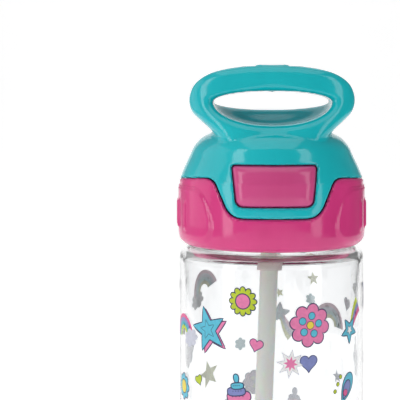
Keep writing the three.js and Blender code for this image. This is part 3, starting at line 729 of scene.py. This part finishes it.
def spout():
    low, root, top = SPOUT_LOW[2], DECK_Z + DECK_T + 0.3, SPOUT_HIGH[2]
    profile = filleted([
        (4, low, 0.3), (6.9, low, 0.3), (6.9, root), (9.3, root, 0.3), (9.3, root + 1.8, 0.4), (7.1, root + 1.8, 0.3),
        (7, root + 4.6, 2), (6.6, root + 8, 4), (7.3, top - 5, 2), (7.2, top - 2.2, 2), (5.7, top - 0.3, 1.2),
        (4.2, top, 1), (2.4, top, 0.5), (2.4, top - 3, 0.8), (4, top - 5, 2),
    ], 6)
    turned_piece("spout_tip", profile, 96, "cap", SILICONE, "spout_silicone", "spout")
    high = RING_LOW + 1.6
    ring = filleted([(7.4, RING_LOW, 0.1), (9.4, RING_LOW, 0.2), (9.4, high, 0.5), (7.4, high, 0.3)])
    turned_piece("spout_clamp", ring, 96, "cap", DEEP_PINK_AND_PAINTED_SHADE, "inner_cap_plastic", "spout_ring")


def hanging(degrees, z):
    """A turn about Y through a point on the axis."""
    return shifted(z=z) @ Matrix.Rotation(math.radians(degrees), 4, "Y") @ shifted(z=-z)


def straw():
    r, bore, top, low = 3.65, 2.9, 148.2, 9.5
    lean = hanging(1.8, DECK_Z)
    adapter = filleted([
        (2.6, 176, 0.2), (3.3, 176, 0.3), (3.6, 174.5), (3.6, DECK_Z - 0.7, 0.2), (9.2, DECK_Z - 0.7, 0.3),
        (9.2, DECK_Z - 2.3, 0.3), (5.05, DECK_Z - 3.4, 0.6), (5.05, 142.8, 0.4), (r + 0.35, 142.8, 0.3),
        (r + 0.3, top + 0.3), (2.6, top + 1.3),
    ])
    turned_piece("straw_holder", adapter, 64, "cap", SILICONE, "spout_silicone", "straw_adapter", lean)
    tube = filleted([(bore, low, 0.2), (r, low, 0.2), (r, top, 0.2), (bore, top, 0.2)])
    turned_piece("straw_tube", tube, 64, "cap", STRAW, "straw_plastic", "straw", lean @ hanging(0.5, top))


# ---------- the flip lid ----------

POST_R, POST_BORE_R, POST_LOW = 2.6, 1.2, 191.9  # of the posts that take the bracket's screws

# Level sections of the neck and loop: height, half width, front, back, and how square the section is.
GRIP = spline([
    (192, 21.8, -24.5, 14, 4.5), (196, 22.2, -25.3, 14, 4.5), (199, 24.5, -24.8, 13.6, 4.2),
    (202.5, 28.4, -23.4, 12.6, 3.6), (206, 31.8, -21.9, 10.6, 3), (210, 33, -20.3, 6.5, 2.6),
    (214, 32.3, -18.9, 1.5, 2.4), (217.3, 30.4, -18, -1.5, 2.3), (220.2, 26.6, -17.4, -4, 2.2),
    (222.4, 21, -16.3, -5.5, 2.2), (223.9, 12.5, -14.6, -7.5, 2.2), (LOOP_TOP, 5, -12.8, -9.5, 2.2),
])


def section_field(x, y, z):
    """Distance in a level plane to the section of neck and loop at that height."""
    half, front, back, power = (np.interp(z, GRIP[:, 0], GRIP[:, k]) for k in (1, 2, 3, 4))
    return oval(x, y - (front + back) / 2, half, (back - front) / 2, power)


FINGER_Z, FINGER_UP = 210.1, 4  # where the opening is widest, and how far it rises over that
FINGER_HALF, FINGER_NARROWS = 23.4, 0.4  # half width at the front, and how much less it is at the back
LIP_DROP, FLOOR_RISE = 9.4, 6.2  # how far the floor lies under the widest level, and how far it climbs
CLIMB_Y, CLIMB_LONG = -9, 12  # where the climb starts, and its length


def finger_field(x, y, z):
    """The finger opening. Its floor is low behind the front lip and climbs steeply to the back rim."""
    share = np.clip((y - CLIMB_Y) / CLIMB_LONG, 0, 1)
    rise = z - FINGER_Z
    down = LIP_DROP - FLOOR_RISE * share**2 * (3 - 2 * share)
    return oval(x, rise, FINGER_HALF - FINGER_NARROWS * share, np.where(rise > 0, FINGER_UP, down))


def grip_field(x, y, z):
    """The neck that flares from the crown into the loop, pierced by the finger opening."""
    field = np.full(x.shape, 30.0)
    near = z > 188
    x, y, z = x[near], y[near], z[near]
    blank, d = section_field(x, y, z), 0.05
    slope = [(section_field(x + i * d, y + j * d, z + k * d) - blank) / d for i, j, k in np.eye(3)]
    blank = blank / np.sqrt(np.clip(sum(g**2 for g in slope), 1, 9))
    blank = np.maximum(blank, z - LOOP_TOP)
    reach = 1.7  # mm each side of the surface that are worked out
    field[near] = np.clip(smooth_max(blank, -finger_field(x, y, z), 4.5), -reach, reach)
    return field


def lid_field(x, y, z):
    side = side_field(x, y, z)
    edge = np.minimum(PARTING_GAP - over_parting(y, z), on_front(x, y, z, tab_outline(0, 190)))
    outer = smooth_min(smooth_max(side, edge, 0.45), grip_field(x, y, z), 0.8)
    field = smooth_max(outer, -(side + WALL), 0.45)
    field = smooth_max(field, -on_front(x, y, z, window_outline(0)), 0.5)
    room = np.maximum(z - HINGE_Z - CLEAR_R, np.maximum(np.abs(x) - SPRING_HALF, SPRING_Y - y))
    field = np.maximum(field, -room)
    field = np.maximum(field, -hinge_cut(x, y, z, CLEAR_R, PIN_HALF + 0.4))
    rim = np.hypot(x, y) - LINER_HIGH[0] - 1
    field = smooth_min(field, np.maximum(np.abs(rim) - 0.7, between(z, LINER_LOW[2] + 1.2, 197.8)), 0.3)
    post = np.hypot(np.abs(x) - SCREW_X[1], y - SCREW_Y)
    field = smooth_min(field, np.maximum(post - POST_R, between(z, POST_LOW, POST_LOW + 4.1)), 0.3)
    field = np.maximum(field, -np.maximum(post - POST_BORE_R, between(z, POST_LOW - 0.9, POST_LOW + 4)))
    arm = [*half_disc(math.pi), (HINGE_Y + 1.2, HINGE_Z + 3.2), (HINGE_Y - 3.6, HINGE_Z + 8),
           (HINGE_Y - 6.2, HINGE_Z + 8), (HINGE_Y - 3.4, HINGE_Z + 3.4)]
    field = smooth_min(field, knuckles(x, y, z, arm, 5.5, 9), 0.15)
    return np.maximum(field, -hinge_cut(x, y, z, PIN_R + 0.08, FAR))


def lid():
    skinned_piece("lid_shell", lid_field, 0.45, "lid", TEAL, "teal_lid", "flip_lid")
    low, high, socket = LINER_HIGH[2] - 1.2, LINER_HIGH[2], LINER_LOW[2]
    liner = filleted([
        (0, low), (9.5, low), (9.5, socket, 0.3), (10.8, socket, 0.3), (10.8, low, 0.3), (LINER_HIGH[0], low, 0.4),
        (LINER_HIGH[0], high, 0.3), (0, high),
    ])
    turned_piece("lid_liner_disc", liner, 96, "lid", TEAL, "teal_lid", "lid_liner")
    plug = filleted([(0, PLUG_LOW[2]), (7.6, PLUG_LOW[2], 0.6), (9.2, PLUG_LOW[2] + 1, 0.8), (9.2, PLUG_HIGH[2], 0.3),
                     (0, PLUG_HIGH[2])])
    turned_piece("plug_cushion", plug, 96, "lid", SEAL, "seal_silicone", "spout_plug")


# ---------- the latch ----------

def button_field(x, y, z):
    side = side_field(x, y, z)
    front = on_front(x, y, z, window_outline(-0.4))
    crown = 0.3 - 0.75 * np.clip(1 + front / 4.2, 0, 1) ** 2.4
    face = smooth_max(side - crown, front, 1.1)
    flange = np.maximum(side + 2.2, on_front(x, y, z, window_outline(1)))
    return np.maximum(np.minimum(face, flange), -(side + 3.2))


def button():
    skinned_piece("button_face", button_field, 0.3, "button", BUTTON_PINK, "pink_cap", "push_button")


def screws():
    low, high = box("bracket_screw_left")[0][2], box("bracket_screw_left")[1][2]
    profile = filleted([(0, low), (1.5, low, 0.3), (2, low + 0.5, 0.2), (2, low + 1.2, 0.1), (0.9, low + 1.2),
                        (0.9, high - 0.6, 0.1), (0, high)])
    for name, x in zip(("left", "right"), SCREW_X):
        made = mesh_object("cross_screw_" + name, *turned(profile, 32))
        for wide, deep in ((1.0, 0.22), (0.22, 1.0)):
            combine(made, tool_object(block_shape((-wide, wide), (-deep, deep), (low - 1, low + 0.7))), "DIFFERENCE")
        made.data.transform(shifted(x=x, y=SCREW_Y))
        piece(made, "lid", STEEL, "spring_steel", "bracket_screw_" + name)


def button_springs():
    coils, coil_r, wire_r, flat = 4, 1.9, 0.35, 0.75
    for name in ("left", "right"):
        node = "button_spring_" + name
        low, high = box(node)
        x = (low[0] + high[0]) / 2
        turns = np.linspace(0, coils, coils * 28)
        rise = np.clip((turns - flat) / (coils - 2 * flat), 0, 1)
        start, end = low[1] + wire_r, high[1] - wire_r
        path = [(x + coil_r * math.cos(2 * math.pi * t), start + (end - start) * s,
                 SPRING_Z + coil_r * math.sin(2 * math.pi * t)) for t, s in zip(turns, rise)]
        made = swept_piece("latch_coil_" + name, path, wire_r, 12, "lid", node)
        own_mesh(made)


def rounded_cad(name, material, bevel):
    """A CAD node whose shape is right: a small bevel on its edges, and a real material."""
    obj = frame["nodes"][name]
    obj.data.materials.clear()
    obj.data.materials.append(material)
    edge = obj.modifiers.new("moulded_edges", "BEVEL")
    edge.width, edge.segments, edge.limit_method = bevel * MM, 3, "ANGLE"
    edge.angle_limit = math.radians(40)


# ---------- the hinge ----------

def hinge():
    half = box("hinge_pin")[1][0]
    pin = filleted([(0, -half), (PIN_R, -half, 0.3), (PIN_R, half, 0.3), (0, half)])
    along_x = shifted(y=HINGE_Y, z=HINGE_Z) @ Matrix.Rotation(math.pi / 2, 4, "Y")
    turned_piece("hinge_rod", pin, 32, "cap", STEEL, "spring_steel", "hinge_pin", along_x)

    coil_r, wire_r, turns, half_wide, reach = 1.75, 0.32, 6.5, 4.4, 4.8
    at = lambda a, x, along=0.0: (x, HINGE_Y - coil_r * math.sin(a) - along, HINGE_Z - coil_r * math.cos(a))
    count = 180
    bend = turns * 2 * math.pi
    coil = [at(bend * i / count, -half_wide + 2 * half_wide * i / count) for i in range(count + 1)]
    fixed_leg = [at(0, -half_wide, reach * (1 - s / 8)) for s in range(8)]
    swept_piece("torsion_coil", fixed_leg + coil, wire_r, 10, "cap", "hinge_spring")
    moving_leg = [at(bend, half_wide + 0.66 * wire_r, reach * s / 8) for s in range(9)]
    swept_piece("torsion_leg", moving_leg, wire_r, 10, "lid")


# ---------- prints on the bottle ----------

NAVY = (38, 52, 96)
INKS = {
    "navy": NAVY,
    "pink": (240, 130, 180),
    "rose": (232, 88, 150),
    "sky": (88, 196, 222),
    "teal": (52, 176, 190),
    "lime": (196, 214, 40),
    "violet": (130, 140, 200),
    "yellow": (246, 222, 70),
    "white": (250, 250, 250),
    "haze": (206, 208, 222),
}


def ink(name):
    """Screen ink on a clear wall: its colour outside, and a paler, greyer skin seen from within."""
    front, back = (bpy.data.materials.get(kind + name) for kind in ("ink_", "underside_"))
    if front:
        return front, back
    made = []
    grey = np.array((232, 233, 232))
    for kind, colour in (("ink_", np.array(INKS[name])), ("underside_", 0.82 * grey + 0.18 * np.array(INKS[name]))):
        n = Nodes(kind + name)
        n.colours(n.spread(n.noise(700, 3), 0, 1), linear(colour), linear(colour * 0.93))
        n.rough(n.noise(2500, 3), 0.3, 0.5)
        n.bump(n.noise(2600, 2), 0.000008)
        made.append(n.material)
    return made


def circle(n=28):
    a = np.linspace(0, 2 * math.pi, n, endpoint=False)
    return np.stack([np.cos(a), np.sin(a)], 1)


def petals(count, depth=0.3, n=96):
    a = np.linspace(0, 2 * math.pi, n, endpoint=False)
    r = 1 - depth + depth * np.abs(np.cos(a * count / 2)) ** 0.7
    return np.stack([r * np.sin(a), r * np.cos(a)], 1)


def star(points=5, waist=0.45, along=5):
    corners = [(1 if k % 2 == 0 else waist) * np.array((math.sin(math.pi * k / points), math.cos(math.pi * k / points)))
               for k in range(2 * points)]
    t = np.linspace(0, 1, along, endpoint=False)[:, None]
    return np.vstack([a + (b - a) * t for a, b in zip(corners, [*corners[1:], corners[0]])])


def heart(n=48):
    t = np.linspace(0, 2 * math.pi, n, endpoint=False)
    v = 13 * np.cos(t) - 5 * np.cos(2 * t) - 2 * np.cos(3 * t) - np.cos(4 * t)
    return np.stack([np.sin(t) ** 3, v / 16], 1)


def drop(n=48):
    t = np.linspace(0, 2 * math.pi, n, endpoint=False)
    return np.stack([0.62 * np.sin(t) * np.sin(t / 2) ** 0.8, -np.cos(t) * 0.95 + 0.05], 1)


def cushion(n=40, power=3.0):
    """A soft-cornered bar, twice as wide as it is high."""
    t = np.linspace(0, 2 * math.pi, n, endpoint=False)
    put = lambda c: np.sign(c) * np.abs(c) ** (2 / power)
    return np.stack([put(np.cos(t)), 0.42 * put(np.sin(t))], 1)


def grown(outline, by):
    """An outline moved outwards along its own normals."""
    along = np.roll(outline, -1, 0) - np.roll(outline, 1, 0)
    out = np.stack([along[:, 1], -along[:, 0]], 1)
    out /= np.maximum(np.hypot(*out.T), 1e-9)[:, None]
    turned_left = (outline[:, 0] * np.roll(outline[:, 1], -1) - outline[:, 1] * np.roll(outline[:, 0], -1)).sum() > 0
    return outline + (by if turned_left else -by) * out


class Print:
    """One printed motif: layers of ink on the bottle's outside, each a thin closed slab that bends with it."""

    def __init__(self, name, angle, height, size, turn=0.0):
        self.name, self.angle, self.height, self.size = name, math.radians(angle), height, size
        self.turn = math.radians(turn)
        self.points, self.faces, self.kinds, self.inks = [], [], [], []

    def slab(self, grid, colour, lift, wrap):
        """grid holds rows of points in the motif's own plane, where 1 is its size."""
        rows, n = grid.shape[:2]
        c, s = math.cos(self.turn), math.sin(self.turn)
        u = self.size * (grid[..., 0] * c + grid[..., 1] * s)
        v = self.size * (grid[..., 1] * c - grid[..., 0] * s)
        a = self.angle + u / BODY_R
        first = len(self.points)
        for r in (BODY_R + lift, BODY_R + 0.01):
            at = np.stack([r * np.sin(a), -r * np.cos(a), self.height + v], -1)
            self.points.extend(at.reshape(-1, 3))
        if colour not in self.inks:
            self.inks.append(colour)
        kind = 2 * self.inks.index(colour)
        under = rows * n
        last = n if wrap else n - 1
        for i in range(rows - 1):
            for j in range(last):
                k = (j + 1) % n
                quad = [first + m for m in (i * n + j, i * n + k, (i + 1) * n + k, (i + 1) * n + j)]
                self.faces += [quad, [m + under for m in reversed(quad)]]
                self.kinds += [kind, kind + 1]
        rim = [(rows - 1) * n + j for j in range(n)]
        if not wrap:
            rim = [*range(n), *(i * n + n - 1 for i in range(1, rows))]
            rim += [(rows - 1) * n + j for j in range(n - 2, -1, -1)] + [i * n for i in range(rows - 2, 0, -1)]
        for a0, b0 in zip(rim, [*rim[1:], rim[0]]):
            self.faces.append([first + a0, first + b0, first + under + b0, first + under + a0])
            self.kinds.append(kind)

    def shape(self, outline, colour, lift, scale=1.0, at=(0.0, 0.0), rings=5):
        """A filled outline."""
        reach = np.linspace(0.004, 1, rings + 1)[:, None, None]
        self.slab(reach * outline[None] * scale + np.array(at), colour, lift, True)

    def inked(self, outline, colour, scale=1.0, at=(0.0, 0.0), lift=0.07, line=0.42):
        """A filled outline with a thin dark line round it. The line's width is in millimetres."""
        self.shape(grown(outline * scale, line / self.size), "navy", lift - 0.02, 1, at)
        self.shape(outline, colour, lift, scale, at)

    def band(self, inner, outer, colour, lift):
        """The strip between two curves of equal count."""
        share = np.linspace(0, 1, 3)[:, None, None]
        self.slab(inner[None] * (1 - share) + outer[None] * share, colour, lift, False)

    def done(self):
        made = mesh_object(self.name, self.points, self.faces, self.kinds)
        for colour in self.inks:
            for material in ink(colour):
                made.data.materials.append(material)
        made.data.shade_smooth()
        made.data.set_sharp_from_angle(angle=math.radians(30))
        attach(made, "bottle")


def arc(radius, start, end, n=22, centre=(0.0, 0.0)):
    a = np.radians(np.linspace(start, end, n))
    return np.stack([centre[0] + radius * np.cos(a), centre[1] + radius * np.sin(a)], 1)


def flower(p, colours):
    p.inked(petals(12 if colours[0] == "lime" else 8, 0.3), colours[0])
    p.inked(circle(), colours[1], 0.5, lift=0.1)


def daisy(p, colours):
    """Five round petals on a scalloped ground."""
    p.inked(petals(8, 0.26), colours[0])
    for k in range(5):
        a = 2 * math.pi * k / 5
        p.inked(circle(16), colours[1], 0.16, (0.44 * math.sin(a), 0.44 * math.cos(a)), lift=0.1, line=0.25)
    p.inked(circle(16), colours[2], 0.17, lift=0.13, line=0.25)


def plain_star(p, colours):
    p.inked(star(), colours[0])
    p.inked(star(5, 0.5), colours[1], 0.4, lift=0.1, line=0.25)


def deep_star(p, colours):
    """A star with a second one set off behind it, like a solid letter block."""
    p.inked(star(5, 0.42), colours[1], 1, (0.12, -0.14), 0.05)
    p.inked(star(5, 0.42), colours[0], lift=0.09)
    p.inked(star(5, 0.42), colours[0], 0.42, lift=0.12, line=0.2)


def small_star(p, colours):
    p.shape(star(), colours[0], 0.06)


def small_flower(p, colours):
    p.shape(petals(6, 0.3, 60), colours[0], 0.06)


def plain_heart(p, colours):
    p.inked(heart(), colours[0], line=0.3)


def burst(p, colours):
    p.shape(star(8, 0.5), colours[1], 0.05, 1.0)
    p.shape(star(8, 0.5), colours[0], 0.07, 0.9)
    p.shape(star(8, 0.5), colours[2], 0.09, 0.5)


def rainbow(p, colours):
    """Four bands over a quarter turn and a bit, with a cloud at its foot."""
    for k, colour in enumerate(colours):
        outer = 1 - 0.17 * k
        p.band(arc(outer - 0.17, -8, 168), arc(outer, -8, 168), colour, 0.06)
    cloud = petals(7, 0.26, 84) * np.array((0.62, 0.42))
    p.shape(cloud, "haze", 0.09, 1, (0.72, -0.24))


def comet(p, colours):
    """A star that trails three curved bands."""
    for k, colour in enumerate(colours[2:]):
        lower, upper = (0.5 - 0.3 * (k + 1), 0.5 - 0.3 * k)
        t = np.linspace(0, 1, 18)
        fan = lambda share: np.stack([0.25 + 1.5 * t, share * (0.5 + 0.75 * t) + 0.45 * np.sin(1.7 * t)], 1)
        p.band(fan(lower), fan(upper), colour, 0.06)
    p.inked(star(), colours[0], 0.8, lift=0.1)
    p.inked(star(), colours[1], 0.3, lift=0.13, line=0.2)


def cupcake(p, colours):
    """Stacked swirls of icing over a paper cup."""
    cup = np.array([(-0.5, 0.45), (-0.36, -0.45), (0.36, -0.45), (0.5, 0.45)])
    t = np.linspace(0, 1, 8, endpoint=False)[:, None]
    cup = np.vstack([a + (b - a) * t for a, b in zip(cup, np.roll(cup, -1, 0))])
    p.inked(cup, "white", 1, (0, -0.5), 0.05)
    for k in range(3):
        p.shape(cup * np.array((0.09, 0.92)), "sky", 0.08, 1, (0.24 * (k - 1), -0.5))
    for k, colour in enumerate(colours):
        p.inked(cushion(), colour, 0.66 - 0.16 * k, (0.05 * (-1) ** k, 0.02 + 0.29 * k), 0.09 + 0.03 * k)
        for spot in (-0.3, -0.1, 0.1, 0.3):
            p.shape(circle(8), "navy", 0.115 + 0.03 * k, 0.03, (spot * (1 - 0.22 * k), 0.04 + 0.29 * k), rings=2)
    p.inked(drop(), colours[-1], 0.26, (0.04, 0.95), 0.08)


def leaf(p, colours):
    """A drop inside a drop, with beads beside it."""
    p.inked(drop(), colours[0])
    p.inked(drop(), colours[1], 0.62, (0, -0.12), lift=0.1)
    p.inked(circle(16), colours[2], 0.2, (0, -0.3), lift=0.13, line=0.2)
    for k in range(3):
        p.inked(circle(12), "lime", 0.12, (-0.95, -0.6 + 0.5 * k), lift=0.07, line=0.2)


BANDS = ("rose", "violet", "teal", "lime")
# What is printed, where round the bottle in degrees from the front, how high, how big, how far turned, and its inks.
MOTIFS = [
    (flower, 341, 135, 5.3, 0, ("lime", "pink")),
    (deep_star, 317, 123, 8.8, -16, ("sky", "pink")),
    (daisy, 21, 126, 8.0, 10, ("pink", "sky", "yellow")),
    (comet, 52, 122, 6.4, -35, ("sky", "white", "lime", "violet", "rose")),
    (plain_heart, 349, 119, 2.5, 14, ("pink",)),
    (plain_heart, 20, 112, 3.4, 0, ("violet",)),
    (burst, 9, 112, 5.6, 8, ("white", "haze", "pink")),
    (plain_heart, 309, 103, 2.0, -25, ("lime",)),
    (cupcake, 338, 99, 7.0, -8, ("pink", "violet", "sky")),
    (leaf, 49, 100, 6.0, 30, ("sky", "violet", "rose")),
    (rainbow, 290, 118, 8.5, -20, BANDS),
    (flower, 290, 98, 5.0, 0, ("sky", "yellow")),
    (rainbow, 232, 130, 9.0, 10, BANDS),
    (rainbow, 133, 115, 9.5, -16, BANDS),
    (comet, 172, 118, 6.0, 140, ("teal", "white", "lime", "violet", "rose")),
    (small_star, 147, 134, 3.2, 8, ("lime",)),
    (small_star, 172, 127, 2.2, 20, ("lime",)),
    (small_star, 227, 94, 6.2, 12, ("lime",)),
    (small_star, 125, 94, 3.0, 10, ("violet",)),
    (small_flower, 200, 105, 2.8, 0, ("sky",)),
    (small_flower, 149, 125, 2.5, 0, ("sky",)),
    (daisy, 258, 108, 7.2, 0, ("violet", "pink", "yellow")),
    (plain_heart, 268, 136, 3.0, 10, ("rose",)),
    (deep_star, 88, 134, 8.0, 10, ("violet", "lime")),
    (cupcake, 92, 106, 7.0, 6, ("violet", "pink", "lime")),
    (plain_heart, 112, 126, 2.8, -12, ("pink",)),
    (flower, 190, 88, 5.0, 0, ("pink", "lime")),
]
LOWER = [(flower, ("lime", "rose")), (plain_star, ("sky", "pink")), (plain_heart, ("pink",)),
         (rainbow, BANDS), (daisy, ("pink", "sky", "yellow")), (small_star, ("violet",)),
         (leaf, ("violet", "sky", "rose")), (deep_star, ("sky", "pink")), (cupcake, ("sky", "pink", "violet"))]
LOWER_SIZES = {flower: 5, plain_star: 6, plain_heart: 3, rainbow: 8.5, daisy: 7, small_star: 3, leaf: 5.5,
               deep_star: 7.5, cupcake: 6.5}


def prints():
    layout = list(MOTIFS)
    dice = random.Random(7)
    for row, height in enumerate((77, 54, 31, 13)):
        count = 9
        for k in range(count):
            kind, inks = LOWER[(k * 2 + row * 5) % len(LOWER)]
            small = height < 20
            angle = (k + 0.5 * (row % 2)) * 360 / count + dice.uniform(-5, 5)
            size = LOWER_SIZES[kind] * (0.55 if small else dice.uniform(0.85, 1.05))
            layout.append((kind, angle, height + dice.uniform(-3, 3) * (not small), size, dice.uniform(-20, 20), inks))
    for number, (kind, angle, height, size, turn, inks) in enumerate(layout):
        p = Print(f"print_{number:02d}_{kind.__name__}", angle, height, size, turn)
        kind(p, inks)
        p.done()


# ---------- studio ----------

def backdrop():
    """A pale seamless sweep: floor in front, wall behind."""
    wide, front, back, high, bend = 0.75, -2.2, 1.6, 2.6, 0.7
    side = [(front, 0.0), (back - bend, 0.0)]
    side += [(back - bend + bend * math.sin(a), bend - bend * math.cos(a)) for a in np.radians(np.arange(10, 100, 10))]
    side += [(back, high)]
    points = [(x, y, z) for y, z in side for x in (-wide, wide)]
    faces = [(2 * i, 2 * i + 1, 2 * i + 3, 2 * i + 2) for i in range(len(side) - 1)]
    made = mesh_object("backdrop", np.array(points) / MM, faces)
    made.data.shade_smooth()
    n = Nodes("pale_sweep")
    n.colours(n.noise(2, 2), (0.93, 0.93, 0.93), (0.9, 0.9, 0.905))
    n.set(Roughness=0.9)
    n.shader.inputs["Emission Color"].default_value = (1, 1, 1, 1)
    n.shader.inputs["Emission Strength"].default_value = 0.5
    made.data.materials.append(n.material)


LIT_POINT = Vector((0, 0, 0.17))


def softbox(name, azimuth, elevation, distance, wide, high, power):
    light = bpy.data.lights.new(name, "AREA")
    light.shape, light.size, light.size_y, light.energy = "RECTANGLE", wide, high, power
    obj = bpy.data.objects.new(name, light)
    bpy.context.collection.objects.link(obj)
    a, e = math.radians(azimuth), math.radians(elevation)
    away = Vector((math.sin(a) * math.cos(e), -math.cos(a) * math.cos(e), math.sin(e)))
    obj.location = LIT_POINT + away * distance
    obj.rotation_mode = "QUATERNION"
    obj.rotation_quaternion = away.to_track_quat("Z", "Y")


def lighting():
    world = bpy.data.worlds.new("studio")
    bpy.context.scene.world = world
    world.use_nodes = True
    nodes, links = world.node_tree.nodes, world.node_tree.links
    parts = nodes.new("ShaderNodeSeparateXYZ")
    across = nodes.new("ShaderNodeMapRange")
    for key, value in (("From Min", -1), ("From Max", 1), ("To Min", 0.42), ("To Max", 0.12)):
        across.inputs[key].default_value = value
    links.new(nodes.new("ShaderNodeTexCoord").outputs["Generated"], parts.inputs["Vector"])
    links.new(parts.outputs["X"], across.inputs["Value"])
    links.new(across.outputs["Result"], nodes["Background"].inputs["Strength"])
    nodes["Background"].inputs["Color"].default_value = (1, 1, 1, 1)
    softbox("left_strip", -56, 19, 1.0, 0.26, 1.3, 3.0)
    softbox("right_strip", 54, 19, 1.0, 0.26, 1.3, 2.2)
    softbox("left_side", -100, 20, 1.2, 0.9, 1.2, 2.2)
    softbox("overhead", 0, 84, 1.1, 1.0, 1.0, 3.0)


CAMERA_PLACE = (-0.018, -0.450, 0.205)  # level, a little left of the axis
LENS = 99.873
LENS_SHIFT = (-0.0670300, -0.2143748)  # puts the bottle low and to the right, and keeps its sides upright


def camera():
    data = bpy.data.cameras.new("camera")
    obj = bpy.data.objects.new("camera", data)
    bpy.context.collection.objects.link(obj)
    obj.location = CAMERA_PLACE
    obj.rotation_euler = (math.pi / 2, 0, 0)
    data.sensor_width = 36
    data.lens = LENS
    data.shift_x, data.shift_y = LENS_SHIFT
    bpy.context.scene.camera = obj


# ---------- everything ----------

camera()
lighting()
backdrop()
bottle()
gasket()
collar()
inner_cap()
vent()
spout()
straw()
lid()
button()
screws()
button_springs()
rounded_cad("latch_bracket", WHITE, 0.3)
rounded_cad("latch_slider", WHITE, 0.25)
hinge()
prints()
bpy.context.scene.view_settings.view_transform = "Standard"
